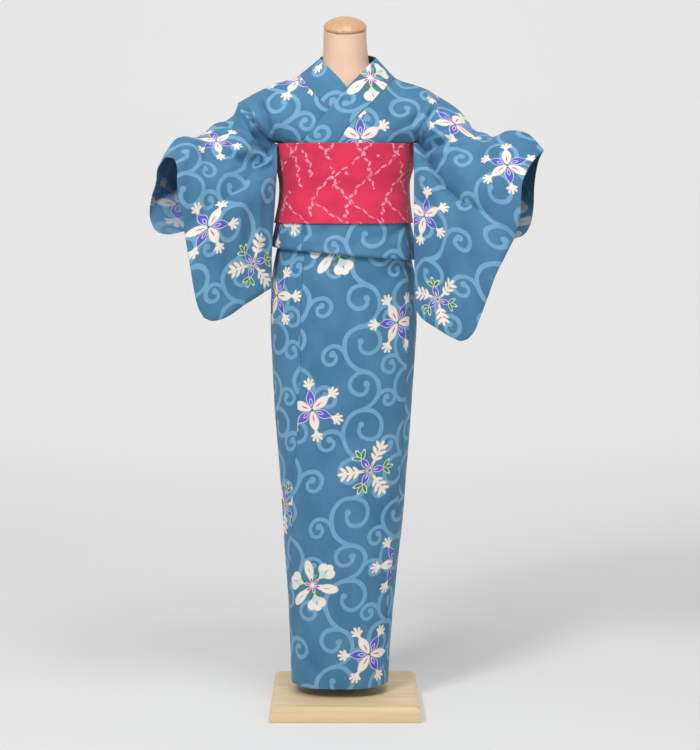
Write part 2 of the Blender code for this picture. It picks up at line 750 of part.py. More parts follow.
def addTurned(name, rings, finish):
    """A closed solid through rings of equal counts, with a cap at each end."""
    rings = np.array(rings)
    count, sides = rings.shape[:2]
    index = np.arange(count * sides).reshape(count, sides)
    index = np.column_stack([index, index[:, 0]])
    faces = quadsOf(index).tolist()
    faces += [list(range(sides))[::-1], list(range((count - 1) * sides, count * sides))]
    return addMesh(name, rings.reshape(-1, 3), faces, finish)


formSides = 36
formWaistOut = -1.2 * mm
formHipOut = -3 * mm
formFoot = 640 * mm
neckStart, neckMix = 1268, 50
neckTopRadius = 43 * mm

# Below the waist: the height in millimetres and how far inside the innermost layer the form lies.
HipRow = namedtuple("HipRow", "height out")
hipRows = [
    HipRow(640, -66), HipRow(650, -42), HipRow(670, -6), HipRow(730, -6), HipRow(810, -6),
]


def torsoRings():
    angles = np.linspace(0, 360, formSides, endpoint=False)
    rings = [ringPoint(angles, row.height * mm, row.out * mm) for row in hipRows]
    for z in skirtHeights[-4:]:
        rings.append(ringPoint(angles, z * mm, formWaistOut if z * mm > tuckBottom else formHipOut))
    s, c = unitRing(angles)
    roundS, roundC = np.sin(np.radians(angles)), np.cos(np.radians(angles))
    for row in chestRings:
        mix = ease((row.height - neckStart) / neckMix)
        x = row.halfWidth * (s * (1 - mix) + roundS * mix) + row.centreX
        y = row.halfDepth * (c * (1 - mix) + roundC * mix)
        rings.append(np.stack([x, y, np.full(formSides, row.height)], -1) * mm)
    rings.append(tiltedRing(angles, neckTopRadius, -formGap / math.cos(capTilt)))
    return rings


def tiltedRing(angles, radius, rise):
    """A ring in the plane of the neck's tilted top."""
    x, y = radius * np.sin(np.radians(angles)), radius * np.cos(np.radians(angles))
    s, c = math.sin(capTilt), math.cos(capTilt)
    return np.stack([x, y * c - rise * s, y * s + rise * c], -1) + np.array(capCentre)


CapRow = namedtuple("CapRow", "radius rise")
capRows = [
    CapRow(41.5, 0), CapRow(43.3, 1.5), CapRow(43.6, 4.0), CapRow(43.0, 6.5), CapRow(40.5, 8.4),
    CapRow(37, 12), CapRow(30.5, 16.5), CapRow(22, 19.8), CapRow(12, 21.6), CapRow(3, 22.2),
]


def addNeckCap():
    angles = np.linspace(0, 360, formSides, endpoint=False)
    rings = [tiltedRing(angles, row.radius * mm, row.rise * mm) for row in capRows]
    return addTurned("neck_cap", rings, "wood")


poleSides = 24


def addPole():
    angles = np.radians(np.linspace(0, 360, poleSides, endpoint=False))
    x, y = poleRadius * np.sin(angles), poleRadius * np.cos(angles)
    ends = plateHeight + formGap, formFoot - formGap
    return addTurned("pole", [np.stack([x, y, np.full(poleSides, z)], -1) for z in ends], "steel")


def addBasePlate():
    half = plateSide / 2
    rings = []
    for inset, z in ((0, 0), (0, plateHeight - plateBevelDrop), (plateBevel, plateHeight)):
        side = half - inset
        rings.append([(side, side, z), (side, -side, z), (-side, -side, z), (-side, side, z)])
    return addTurned("base_plate", rings, "wood")


def main():
    for obj in list(bpy.data.objects):
        bpy.data.objects.remove(obj, do_unlink=True)
    for side, finish in (("left", "cotton"), ("right", "cottonShade")):
        sign = 1 if side == "left" else -1
        for part, grid in bodyPanels(side).items():
            addCloth(f"body_{side}_{part}", grid, clothWall, finish)
        addCloth(f"overlap_{side}", overlapPanel(side), clothWall, finish)
        for layer, isFront in (("front", True), ("back", False)):
            tube, bag = parted(sleeveLayer(side, sign, isFront), cuffRows, sleevePartGap)
            addCloth(f"sleeve_{side}_{layer}_tube", tube, clothWall, finish)
            addCloth(f"sleeve_{side}_{layer}_bag", bag, clothWall, finish)
    addCloth("collar", collarBand(), collarWall, "cottonShade")
    addCloth("belt", beltBand(), beltWall, "belt")
    addTurned("form_torso", torsoRings(), "skin")
    addNeckCap()
    addPole()
    addBasePlate()


main()
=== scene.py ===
import math
from collections import namedtuple

import bpy
import numpy as np
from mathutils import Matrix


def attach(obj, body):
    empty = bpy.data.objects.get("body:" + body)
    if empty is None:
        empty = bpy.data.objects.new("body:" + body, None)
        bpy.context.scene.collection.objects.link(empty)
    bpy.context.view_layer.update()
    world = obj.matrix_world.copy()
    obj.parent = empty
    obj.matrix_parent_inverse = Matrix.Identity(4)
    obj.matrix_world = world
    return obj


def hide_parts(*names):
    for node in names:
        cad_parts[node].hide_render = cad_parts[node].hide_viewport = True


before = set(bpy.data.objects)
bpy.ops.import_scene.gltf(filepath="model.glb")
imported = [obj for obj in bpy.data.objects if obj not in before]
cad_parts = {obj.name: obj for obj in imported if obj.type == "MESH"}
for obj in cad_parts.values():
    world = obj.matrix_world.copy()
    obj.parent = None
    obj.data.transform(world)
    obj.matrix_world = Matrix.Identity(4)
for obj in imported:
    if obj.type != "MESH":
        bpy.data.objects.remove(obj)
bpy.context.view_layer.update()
print("frame loaded")

mm = 0.001

wrap = {
    "firstTurn": -335.0, "turns": 1.86, "middle": 0.93,
    "skirtPitch": 2.6 * mm, "bodicePitch": 5.0 * mm, "foldRoom": 2.4 * mm,
}
returnOut = wrap["turns"] * wrap["skirtPitch"] + wrap["foldRoom"]
outerOut = 2 * returnOut
bodiceOut = outerOut + wrap["middle"] * wrap["skirtPitch"]

heights = {
    "hem": 50 * mm, "foldTop": 985 * mm, "tuckBottom": 934 * mm, "tuckTilt": 13.5 * mm,
    "gatherTop": 1000 * mm, "armpit": 1147 * mm, "beltBottom": 990 * mm, "beltTop": 1147 * mm,
    "overlapTop": 1050 * mm, "overlapEnd": 1005 * mm, "sideTurn": 1000 * mm,
}
roundness, archPower = 2.3, 1.8  # how square the rings are, and the arch over the shoulders

bodyRings = [  # height, half width, half depth and the centre's x
    (50, 95.6, 78, -11.0), (111, 97.8, 79, -9.7), (216, 104, 84, -7.6), (320, 112.9, 90, -6.0),
    (403, 119.8, 95, -4.4), (486, 125.5, 99, -3.5), (630, 135.8, 106, -3.3),
    (712, 140.4, 109, -3.2), (773, 143.4, 111, -2.7), (834, 143.2, 111, -2.6),
    (880, 140.3, 109, -2.9), (940, 128.6, 102, -3.0), (987, 116.8, 94, -2.0),
    (1045, 107.6, 88.4, 0.0), (1073, 107.6, 88.4, 0.0), (1102, 114.1, 89.4, 0.8),
    (1147, 115.2, 90.4, 0.0),
]
shoulder = {
    "halfWidth": 243.2 * mm, "rise": 90 * mm, "guess": 110 * mm, "napeLift": 45 * mm, "napeReach": 90 * mm,
}
shoulderRidge = [  # x and height
    (-250, 1205), (-214, 1229), (-174, 1251), (-138, 1267), (-90, 1284),
    (-50, 1316), (0, 1345), (62, 1317), (98, 1279), (140, 1264),
    (166, 1254), (184, 1243), (196, 1236), (230, 1213), (260, 1190),
]
frontSeams = [  # height, and the turns of the overlap's seam and of its free edge
    (50, 262, 332), (216, 252, 322), (338, 237, 303), (427, 230.8, 296),
    (491, 226.1, 290), (556, 221.2, 285), (640, 218.3, 282), (698, 215.8, 280),
    (784, 213.7, 279), (930, 212.3, 279), (1060, 212.3, 279),
]
sideTurn, armpitTurn, overlapTurn = 121.0, 104.0, 212.3

collarRows = {  # x and height of the seam, then of the free edge
    "left": [
        (98, 1279, 62, 1317), (76, 1251, 38, 1291), (51, 1224, 4, 1255),
        (30, 1204, -16, 1231), (10, 1183, -38, 1204), (-8, 1157, -62, 1176),
        (-28, 1128, -84, 1149), (-50, 1096, -106, 1115), (-70, 1062, -118, 1080),
    ],
    "right": [
        (-90, 1284, -50, 1317), (-73, 1257, -33, 1297), (-57, 1241, -12, 1275),
        (-40, 1222, 4, 1255), (-20, 1199, 26, 1228), (2, 1173, 48, 1202),
        (20, 1150, 70, 1175), (38, 1125, 88, 1149), (60, 1092, 106, 1115),
        (74, 1062, 118, 1080),
    ],
}
neckline = {  # x and height
    "left": [(0, 1286), (60, 1285), (98, 1279)],
    "right": [(0, 1286), (-50, 1286), (-90, 1284)],
}
armholeFront = {  # x and height
    "left": [(150, 1163), (166, 1190), (182, 1217), (184, 1243)],
    "right": [(-156, 1158), (-182, 1184), (-210, 1212), (-214, 1229)],
}
armholeBack = {  # rise and turn
    "left": [(0, 104), (0.2, 66), (0.45, 52), (1, 42.6)],
    "right": [(0, 104), (0.2, 72), (0.45, 60), (1, 52)],
}
archRows = [0, 0.195, 0.383, 0.584, 0.72, 0.84, 0.93, 0.98, 1]  # rises of the cuff's rows
napeRise = archRows[3]


def spline(rows, at):
    # smooth values through a table's rows, whose first column is the key
    table = np.array(rows, float)
    key, value = table[:, 0], table[:, 1:]
    slope = np.gradient(value, key, axis=0)
    at = np.clip(np.asarray(at, float), key[0], key[-1])
    i = np.clip(np.searchsorted(key, at, side="right") - 1, 0, len(key) - 2)
    step = key[i + 1] - key[i]
    u = ((at - key[i]) / step)[..., None]
    step = step[..., None]
    found = (
        (2 * u**3 - 3 * u**2 + 1) * value[i]
        + (u**3 - 2 * u**2 + u) * step * slope[i]
        + (3 * u**2 - 2 * u**3) * value[i + 1]
        + (u**3 - u**2) * step * slope[i + 1]
    )
    return found[..., 0] if value.shape[1] == 1 else found


def route(points, at):
    # points of a smooth curve through the given ones, at shares of its length
    points = np.array(points, float)
    lengths = np.linalg.norm(np.diff(points, axis=0), axis=1)
    key = np.concatenate([[0], np.cumsum(lengths)]) / lengths.sum()
    return spline(np.column_stack([key, points]), at)


def ease(value):
    value = np.clip(value, 0, 1)
    return value * value * (3 - 2 * value)


def ringAt(z):
    low = np.minimum(z, heights["armpit"]) / mm
    half, depth, centre = np.moveaxis(spline(bodyRings, low) * mm, -1, 0)
    rise = np.clip((z - heights["armpit"]) / shoulder["rise"], 0, 1)
    half = half + (shoulder["halfWidth"] - half) * (1 - (1 - rise) ** 2)
    return half, depth, centre


def unitRing(turn):
    s, c = np.sin(np.radians(turn)), np.cos(np.radians(turn))
    scale = (np.abs(s) ** roundness + np.abs(c) ** roundness) ** (-1 / roundness)
    return s * scale, c * scale


def ringPoint(turn, z, out):
    half, depth, centre = ringAt(z)
    s, c = unitRing(turn)
    return np.stack(np.broadcast_arrays(centre + (half + out) * s, (depth + out) * c, z), -1)


def ridgeHeight(x, back):
    height = spline(shoulderRidge, x / mm) * mm
    lift = np.clip(1 - (x / shoulder["napeReach"]) ** 2, 0, 1) ** 2
    return height + np.where(back, shoulder["napeLift"] * lift, 0)


def turnsOf(turn):
    return (turn - wrap["firstTurn"]) / 360


def bodiceOutAt(turn):
    return bodiceOut + (turnsOf(turn) - wrap["middle"]) * wrap["bodicePitch"]


def archAt(rise):
    return (1 - np.clip(rise, 0, 1) ** archPower) ** (1 / archPower)


def archPoint(turn, rise, out, steps=40):
    # the upper body: rise goes from 0 at the armpits to 1 on the shoulder's ridge
    s, c = unitRing(turn)
    turn, rise, out = np.broadcast_arrays(turn, rise, out)
    z = heights["armpit"] + rise * shoulder["guess"]
    for _ in range(steps):
        half, depth, centre = ringAt(z)
        x = centre + (half + out) * s
        z = 0.5 * z + 0.5 * (heights["armpit"] + rise * (ridgeHeight(x, c > 0) - heights["armpit"]))
    return np.stack([x, (depth + out) * c * archAt(rise), z], -1)


def ringAngle(x, z, out=bodiceOut):
    # the angle from the back's or the front's middle at which x is met, and the ring's depth there
    half, depth, centre = ringAt(z)
    share = np.clip((x - centre) / (half + out), -1, 1)
    deep = (1 - np.abs(share) ** roundness) ** (1 / roundness)
    return np.degrees(np.arctan2(share, deep)), (depth + out) * deep


def riseAt(x, z, back):
    return np.clip((z - heights["armpit"]) / (ridgeHeight(x, back) - heights["armpit"]), 0, 1)


def turnAt(x, z, front, sign):
    angle, _ = ringAngle(x, z)
    return (sign * 180 - angle if front else angle), riseAt(x, z, not front)


def frontPoint(x, z, sign, steps=3):
    # the point of the front layer on this side that is seen at x, z
    out = bodiceOut
    for _ in range(steps):
        angle, depth = ringAngle(x, z, out)
        out = bodiceOutAt(sign * 180 - angle)
    return np.stack([x, -depth * archAt(riseAt(x, z, False)), z], -1)


def edgeTurn(rows, front, sign, rises):
    table = np.array(rows, float) * mm
    turn, rise = turnAt(table[:, 0], table[:, 1], front, sign)
    order = np.argsort(rise)
    return np.interp(rises, rise[order], turn[order])


# rows up a panel: the skirt, the tuck's three layers and the part under the belt
skirtZone, upperFold, returnZone, lowerFold, outerZone = range(5)
zoneRows = {skirtZone: 150, upperFold: 6, returnZone: 8, lowerFold: 10, outerZone: 42}
archSteps = 34
fineRises = 1 - (1 - np.arange(1, archSteps + 1) / archSteps) ** 1.9


def lengthPoint(turn, zone, share, top=heights["armpit"]):
    winds = turnsOf(turn)
    skirtOut = winds * wrap["skirtPitch"]
    backOut = returnOut + (wrap["turns"] - winds) * wrap["skirtPitch"]
    faceOut = outerOut + winds * wrap["skirtPitch"]
    low = heights["tuckBottom"] - heights["tuckTilt"] * np.sin(np.radians(turn))
    hem, foldTop = heights["hem"], heights["foldTop"]
    if zone == skirtZone:
        return ringPoint(turn, hem + share * (foldTop - hem), skirtOut)
    if zone == returnZone:
        return ringPoint(turn, foldTop + share * (low - foldTop), backOut)
    if zone == outerZone:
        z = low + share * (top - low)
        mix = ease((z - low) / (heights["gatherTop"] - low))
        return ringPoint(turn, z, faceOut + mix * (bodiceOutAt(turn) - faceOut))
    inner, outer, level, up = (
        (skirtOut, backOut, foldTop, 1) if zone == upperFold else (backOut, faceOut, low, -1)
    )
    radius = (outer - inner) / 2
    angle = math.pi * share
    ring = ringPoint(turn, level + 0 * radius, inner + radius * (1 - np.cos(angle)))
    ring[..., 2] += up * radius * np.sin(angle)
    return ring


def zoneSteps():
    steps = [(skirtZone, 0.0)]
    for zone, count in zoneRows.items():
        steps += [(zone, i / count) for i in range(1, count + 1)]
    return steps


def heightOf(zone, share, turn, top=heights["armpit"]):
    low = heights["tuckBottom"] - heights["tuckTilt"] * math.sin(math.radians(turn))
    ends = {
        skirtZone: (heights["hem"], heights["foldTop"]), upperFold: (heights["foldTop"],) * 2,
        returnZone: (heights["foldTop"], low), lowerFold: (low, low), outerZone: (low, top),
    }[zone]
    return ends[0] + share * (ends[1] - ends[0])


def sideTurnAt(z):
    share = (z - heights["sideTurn"]) / (heights["armpit"] - heights["sideTurn"])
    return sideTurn + (armpitTurn - sideTurn) * ease(share)


seamReach = 40  # how far over the armpit the collar's seam still sets the edge


def frontEdgeAt(side, sign, z):
    # the turn of a front's inner edge: the overlap's seam, then the collar's
    seam = spline([row[:2] for row in frontSeams], z / mm)
    rows = [row for row in collarRows[side] if row[1] < heights["armpit"] / mm + seamReach]
    table = np.array(rows[::-1], float) * mm
    x = np.interp(z, table[:, 1], table[:, 0])
    angle, _ = ringAngle(x, np.asarray(z, float))
    return np.where(z > table[0, 1], np.minimum(180 - sign * angle, seam), seam)


def armholeTurn(side, sign, rises):
    low = archPoint(np.array(sign * armpitTurn), np.array(0.0), bodiceOut)
    rows = [(low[0] / mm, low[2] / mm)] + armholeFront[side]
    table = np.array(rows, float) * mm
    turn, rise = turnAt(table[:, 0], table[:, 1], True, sign)
    turn[0] = sign * armpitTurn
    return np.interp(rises, rise, turn)


def collarTurn(side, sign, rises):
    x, z, *_ = np.array(collarRows[side], float).T * mm
    low = frontEdgeAt(side, sign, heights["armpit"])
    turn, rise = turnAt(x, z, True, sign)
    keep = rise > 0
    turn, rise = np.append(sign * low, turn[keep][::-1]), np.append(0, rise[keep][::-1])
    return np.interp(rises, rise, turn)


# Each crease runs between two places seen from the front or the back. A positive depth presses in, a
# negative one stands out, and a lip of the lip share rises along its lower side.
Crease = namedtuple("Crease", "x1 z1 x2 z2 width depth lip", defaults=(0.3,))
bodyCreases = {
    "front": [
        (-212, 1222, -158, 1154, 8, 3.4), (-171, 1240, -158, 1200, 6, 3.6),
        (-158, 1204, -140, 1152, 6, 4.4), (-192, 1228, -154, 1166, 7, -2.4),
        (-138, 1160, -100, 1188, 8, 2.6), (-100, 1188, -56, 1204, 9, 1.6),
        (-134, 1150, -84, 1160, 7, 1.8),
        (-137, 1146, -84, 1176, 7, 2.4), (-190, 1222, -120, 1204, 12, 2.0),
        (-128, 1232, -78, 1196, 14, 1.8), (150, 1170, 96, 1152, 8, 3.2),
        (173, 1210, 138, 1152, 7, 4.0), (152, 1216, 128, 1160, 8, 2.0),
        (166, 1216, 134, 1156, 5, -1.6), (122, 1160, 70, 1176, 8, 1.6),
        (168, 1206, 108, 1176, 11, 2.4), (120, 1238, 80, 1190, 14, 1.8),
        (60, 1214, 24, 1166, 12, 1.6), (118, 904, 44, 868, 16, 2.6),
        (-70, 862, 12, 778, 20, 2.4), (70, 826, 112, 742, 22, 2.2),
        (-104, 742, -60, 640, 20, 1.8), (30, 690, 78, 560, 26, 1.6),
        (-74, 566, 70, 556, 14, 1.0), (-40, 520, 10, 380, 26, 1.6),
        (60, 430, 86, 300, 20, 1.6), (-84, 330, -50, 190, 18, 1.8),
        (-10, 260, 24, 120, 22, 1.6), (-86, 118, -40, 62, 15, 2.2),
        (-104, 966, -20, 974, 9, 1.6), (24, 958, 108, 968, 9, 1.8),
        (-60, 946, 40, 944, 7, 1.2), (-112, 980, -74, 958, 8, 1.8),
        (112, 984, 84, 950, 8, 1.8),
    ],
    "back": [
        (-150, 1210, -60, 1186, 14, 2.6), (140, 1206, 62, 1180, 13, 2.8),
        (-110, 1160, -30, 1172, 12, 2.0), (100, 1156, 20, 1168, 12, 2.0),
        (-60, 1240, -18, 1196, 14, 1.8), (64, 1236, 26, 1190, 14, 1.6),
        (-96, 906, -24, 862, 18, 2.4), (104, 890, 40, 822, 18, 2.2),
        (-84, 800, -60, 640, 24, 2.0), (72, 742, 92, 600, 24, 1.8),
        (-20, 700, 10, 520, 26, 1.8), (-70, 480, -30, 330, 24, 1.8),
        (40, 440, 64, 300, 22, 1.6), (-50, 250, -20, 110, 20, 1.8),
        (60, 200, 30, 90, 18, 1.6), (-90, 966, 0, 972, 9, 1.8),
        (20, 956, 96, 966, 9, 1.8), (-40, 946, 44, 944, 7, 1.2),
    ],
}
sleeveCreases = {
    "left": {
        "front": [
            (146, 1146, 190, 1171, 8, 4.4), (190, 1171, 240, 1178, 8, 3.6),
            (154, 1130, 204, 1152, 8, 5.4), (200, 1150, 256, 1170, 8, 5.0),
            (244, 1168, 288, 1158, 8, 2.8), (152, 1150, 206, 1166, 5, -2.2),
            (150, 1118, 226, 1138, 11, -1.4), (222, 1142, 290, 1144, 10, -1.2),
            (172, 1196, 148, 1160, 9, 3.4), (206, 1202, 232, 1176, 9, 2.4),
            (144, 1106, 178, 1110, 8, 1.8),
            (300, 1150, 352, 1152, 9, 1.8), (150, 1010, 196, 1046, 14, 1.6),
            (292, 1046, 282, 880, 16, 1.6), (236, 1066, 250, 830, 20, 2.0),
            (180, 1010, 196, 826, 16, 1.4), (322, 1090, 318, 1000, 10, 1.6),
            (208, 960, 226, 800, 12, -1.2),
        ],
        "back": [
            (160, 1120, 250, 1140, 10, 3.2), (200, 1180, 280, 1140, 10, 3.0),
            (180, 1080, 240, 1020, 16, 2.6), (280, 1120, 300, 980, 16, 2.8),
            (230, 1060, 240, 860, 18, 2.6), (170, 1000, 180, 850, 16, 2.2),
        ],
    },
    "right": {
        "front": [
            (-212, 1216, -162, 1146, 7, 4.0), (-236, 1186, -212, 1212, 5, 3.6),
            (-224, 1204, -176, 1150, 7, -2.4), (-253, 1190, -206, 1176, 7, 3.2),
            (-206, 1176, -160, 1146, 8, 4.6), (-244, 1170, -200, 1156, 6, -2.2),
            (-200, 1150, -150, 1128, 7, 3.2),
            (-236, 1130, -192, 1094, 10, 3.6), (-194, 1092, -144, 1096, 10, 4.6),
            (-232, 1146, -160, 1118, 12, -3.2), (-160, 1138, -146, 1122, 8, 3.0),
            (-262, 1184, -244, 1156, 8, 2.4), (-290, 1150, -272, 1110, 9, 2.2),
            (-314, 1148, -296, 1090, 9, 2.0), (-306, 1112, -292, 958, 13, 2.0),
            (-276, 1080, -262, 880, 15, 2.0), (-238, 1060, -232, 860, 18, 1.8),
            (-196, 1060, -190, 880, 15, 1.6), (-165, 1060, -160, 930, 11, 1.4),
            (-330, 1080, -326, 1000, 8, 1.4),
        ],
        "back": [
            (-160, 1120, -250, 1140, 10, 3.2), (-220, 1180, -290, 1140, 10, 3.0),
            (-190, 1080, -250, 1020, 16, 2.6), (-300, 1120, -290, 980, 16, 2.8),
            (-240, 1060, -244, 870, 18, 2.6), (-180, 1000, -182, 880, 16, 2.2),
        ],
    },
}
beltCreases = [
    (-112, 1136, -70, 1124, 7, 1.5), (-112, 1108, -84, 1096, 7, 1.2),
    (112, 1134, 78, 1118, 7, 1.6), (112, 1104, 70, 1100, 8, 1.2),
    (-60, 1068, 40, 1064, 10, 0.6), (-100, 1020, 10, 1026, 12, 0.6),
    (20, 1010, 104, 1022, 12, 0.6), (-30, 1120, 40, 1126, 12, 0.6),
]
creaseShape = {"body": 2.3, "sleeve": 2.5, "belt": 1.0, "tail": 0.06, "blunt": 0.7, "lipAway": 1.5}


def pressed(rows, points, piece):
    # how far each point is pressed in by these creases
    depth = np.zeros(points.shape[:-1])
    place = points[..., [0, 2]] / mm
    tail = creaseShape["tail"]
    for crease in (Crease(*row) for row in rows):
        start, end = np.array([crease.x1, crease.z1]), np.array([crease.x2, crease.z2])
        along = end - start
        share = np.clip(((place - start) @ along) / (along @ along), 0, 1)
        away = place - start - share[..., None] * along
        normal = np.array([-along[1], along[0]]) / np.linalg.norm(along)
        normal = normal * (1 if normal[1] < 0 else -1)  # pointing down
        off = np.linalg.norm(away, axis=-1) / crease.width
        lower = (away @ normal) / crease.width - creaseShape["lipAway"]
        fading = np.sin(math.pi * (tail + (1 - 2 * tail) * share)) ** creaseShape["blunt"]
        ends = np.linalg.norm(away - (away @ normal)[..., None] * normal, axis=-1) / crease.width
        lip = crease.lip * np.exp(-(lower**2)) * np.exp(-(ends**2))
        depth += creaseShape[piece] * crease.depth * mm * fading * (np.exp(-(off**2)) - lip)
    return depth


def ripple(points, size, seed):
    # a slow unevenness, the same on each run
    place = points / mm / size
    total = np.zeros(points.shape[:-1])
    for k in range(1, 5):
        a = seed * 1.7 + k * 2.4
        way = np.array([math.cos(a), 0.6 * math.sin(2 * a), math.sin(a)])
        total += np.sin(place @ way * (0.7 + 0.45 * k) + seed + 1.9 * k) / k
    return total / 2


Wave = namedtuple("Wave", "depth size seed")


def waves(points, rows, shift=0):
    return sum(row.depth * mm * ripple(points, row.size, row.seed + shift) for row in rows)


def frontness(c):
    # 1 at the front and 0 at the back, from the turn's cosine
    return ease(0.5 - 1.2 * c)


relief = {
    "waves": [Wave(0.9, 62, 1.0), Wave(0.35, 21, 2.0)], "upLean": 0.8, "underBelt": 0.15,
    "beltFrom": (985, 20), "beltTo": (1130, 25),  # where the belt's flat part starts and ends, and how fast
}


def bodyRelief(points, turn, rise):
    # moves all layers of the body alike, out along the ring
    s, c = np.sin(np.radians(turn)), np.cos(np.radians(turn))
    half, depth, _ = ringAt(points[..., 2])
    flat = np.stack([s * depth, c * half, 0 * s], -1)
    flat /= np.linalg.norm(flat, axis=-1, keepdims=True)
    lift = np.clip(rise, 0, 1)[..., None] ** 3
    outward = flat * (1 - relief["upLean"] * lift) + np.array([0, 0, 1.0]) * lift
    outward /= np.linalg.norm(outward, axis=-1, keepdims=True)
    depthIn = frontness(c) * pressed(bodyCreases["front"], points, "body")
    depthIn += (1 - frontness(c)) * pressed(bodyCreases["back"], points, "body")
    z = points[..., 2] / mm
    low, high = (ease((z - at) / reach) for at, reach in (relief["beltFrom"], relief["beltTo"]))
    calm = relief["underBelt"] + (1 - relief["underBelt"]) * (1 - low * (1 - high))
    return points + outward * ((waves(points, relief["waves"]) - depthIn) * calm)[..., None]


seamGap = {
    "turn": math.degrees(0.15 * mm / (90 * mm)), "side": 1.7,
    "sleeve": {"front": 0.5 * mm, "back": 0.3 * mm},
}
cloth = {
    "wall": 1.0 * mm, "collar": 2.6 * mm, "belt": 2.2 * mm, "collarRound": 1.0 * mm, "beltRound": 0.8 * mm,
}
columnCount = {"body": 62, "overlap": 18, "collar": 14, "sleeve": 90, "belt": 210}


def across(inner, outer, count):
    step = 1 if outer > inner else -1
    turn = seamGap["turn"]
    return np.linspace(inner + step * turn, outer - step * turn * seamGap["side"], count + 1)


def rowTag(face, zone):
    return face + {skirtZone: " skirt", outerZone: " top"}.get(zone, " tuck")


def addedUp(steps):
    # running lengths along each row, from zero
    return np.concatenate([np.zeros((len(steps), 1)), np.cumsum(steps, axis=1)], axis=1)


def bodyPlace(points, low, sign):
    # the cloth's own lengths, u from the middle outwards and v upwards from the armpit's row
    step = np.diff(points, axis=1)
    u = addedUp(np.hypot(step[..., 0], step[..., 1]))
    anchor = sign * points[:, 0, 0]
    anchor[:low] = anchor[low - 1]
    climb = np.diff(points, axis=0)
    v = np.zeros(u.shape)
    v[low:] = np.cumsum(np.hypot(climb[low - 1:, :, 1], climb[low - 1:, :, 2]), axis=0)
    down = np.linalg.norm(climb[:low - 1], axis=-1).mean(axis=1)[:, None]
    v[:low - 1] = -np.cumsum(down[::-1], axis=0)[::-1]
    return np.stack([u + anchor[:, None], v], -1)


def clothLengths(points):
    # u along each row, v along the mean row
    u = addedUp(np.linalg.norm(np.diff(points, axis=1), axis=-1))
    down = np.linalg.norm(np.diff(points, axis=0), axis=-1).mean(axis=1)
    v = np.concatenate([[0], np.cumsum(down)])
    return np.stack([u, np.broadcast_to(v[:, None], u.shape)], -1)


def bodyGrid(side):
    # one body length from the back hem over the shoulder to the front hem
    sign = 1 if side == "left" else -1
    count = columnCount["body"]
    back, front = [], []
    for zone, share in zoneSteps():
        outer = float(sideTurnAt(heightOf(zone, share, sign * sideTurn)))
        inner = float(frontEdgeAt(side, sign, heightOf(zone, share, sign * overlapTurn)))
        turn = sign * across(0, outer, count)
        back.append((lengthPoint(turn, zone, share), turn, 0 * turn, zone))
        turn = sign * across(inner, outer, count)
        front.append((lengthPoint(turn, zone, share), turn, 0 * turn, zone))
    holes = spline(armholeBack[side], fineRises), sign * armholeTurn(side, sign, fineRises)
    inners = np.where(fineRises > napeRise, sign * edgeTurn(neckline[side], False, sign, fineRises), 0)
    for k, rise in enumerate(fineRises):
        turn = sign * across(inners[k], holes[0][k], count)
        back.append((archPoint(turn, rise, bodiceOutAt(turn)), turn, rise + 0 * turn, outerZone))
    edges = sign * collarTurn(side, sign, fineRises)
    for k, rise in enumerate(fineRises[:-1]):
        turn = sign * across(edges[k], holes[1][k], count)
        front.append((archPoint(turn, rise, bodiceOutAt(turn)), turn, rise + 0 * turn, outerZone))
    # both halves come together on the ridge
    rows = back + front[::-1]
    points, turns, rises = (np.array([row[i] for row in rows]) for i in range(3))
    tags = [rowTag("back", row[3]) for row in back] + [rowTag("front", row[3]) for row in front[::-1]]
    points = bodyRelief(points, turns, rises)
    low = len(zoneSteps())
    backPlace = bodyPlace(points[:len(back)], low, sign)
    frontPlace = bodyPlace(points[:len(back) - 1:-1], low, sign)[::-1]
    return points, np.concatenate([backPlace, frontPlace]), tags[:-1]


def overlapGrid(side):
    sign = 1 if side == "left" else -1
    rows = []
    for zone, share in zoneSteps():
        z = heightOf(zone, share, sign * overlapTurn, heights["overlapTop"])
        seam, free = spline(frontSeams, z / mm)
        turn = np.linspace(seam + 2 * seamGap["turn"], free, columnCount["overlap"] + 1)
        slant = (turn - seam) / (free - seam) * (heights["overlapEnd"] - heights["overlapTop"])
        points = lengthPoint(sign * turn, zone, share, heights["overlapTop"] + slant)
        rows.append((points, sign * turn, zone))
    points, turns = (np.array([row[i] for row in rows]) for i in range(2))
    points = bodyRelief(points, turns, 0 * turns)
    return points, clothLengths(points), [rowTag("front", row[2]) for row in rows[:-1]]


collar = {
    "backRise": 13 * mm, "backDepth": 66 * mm, "backRows": 26, "lowStep": 4 * mm, "seam": 0.014,
    "crown": 0.8 * mm, "waves": [Wave(0.5, 55, 3.0)],
}


def collarRow(table, x, z, columns, sign):
    key = table[::-1, 1]
    edge = np.array([np.interp(z, key, table[::-1, 2]), np.interp(z, key, table[::-1, 3])])
    places = np.array([x, z]) + columns[:, None] * (edge - np.array([x, z]))
    return frontPoint(places[:, 0], places[:, 1], sign)


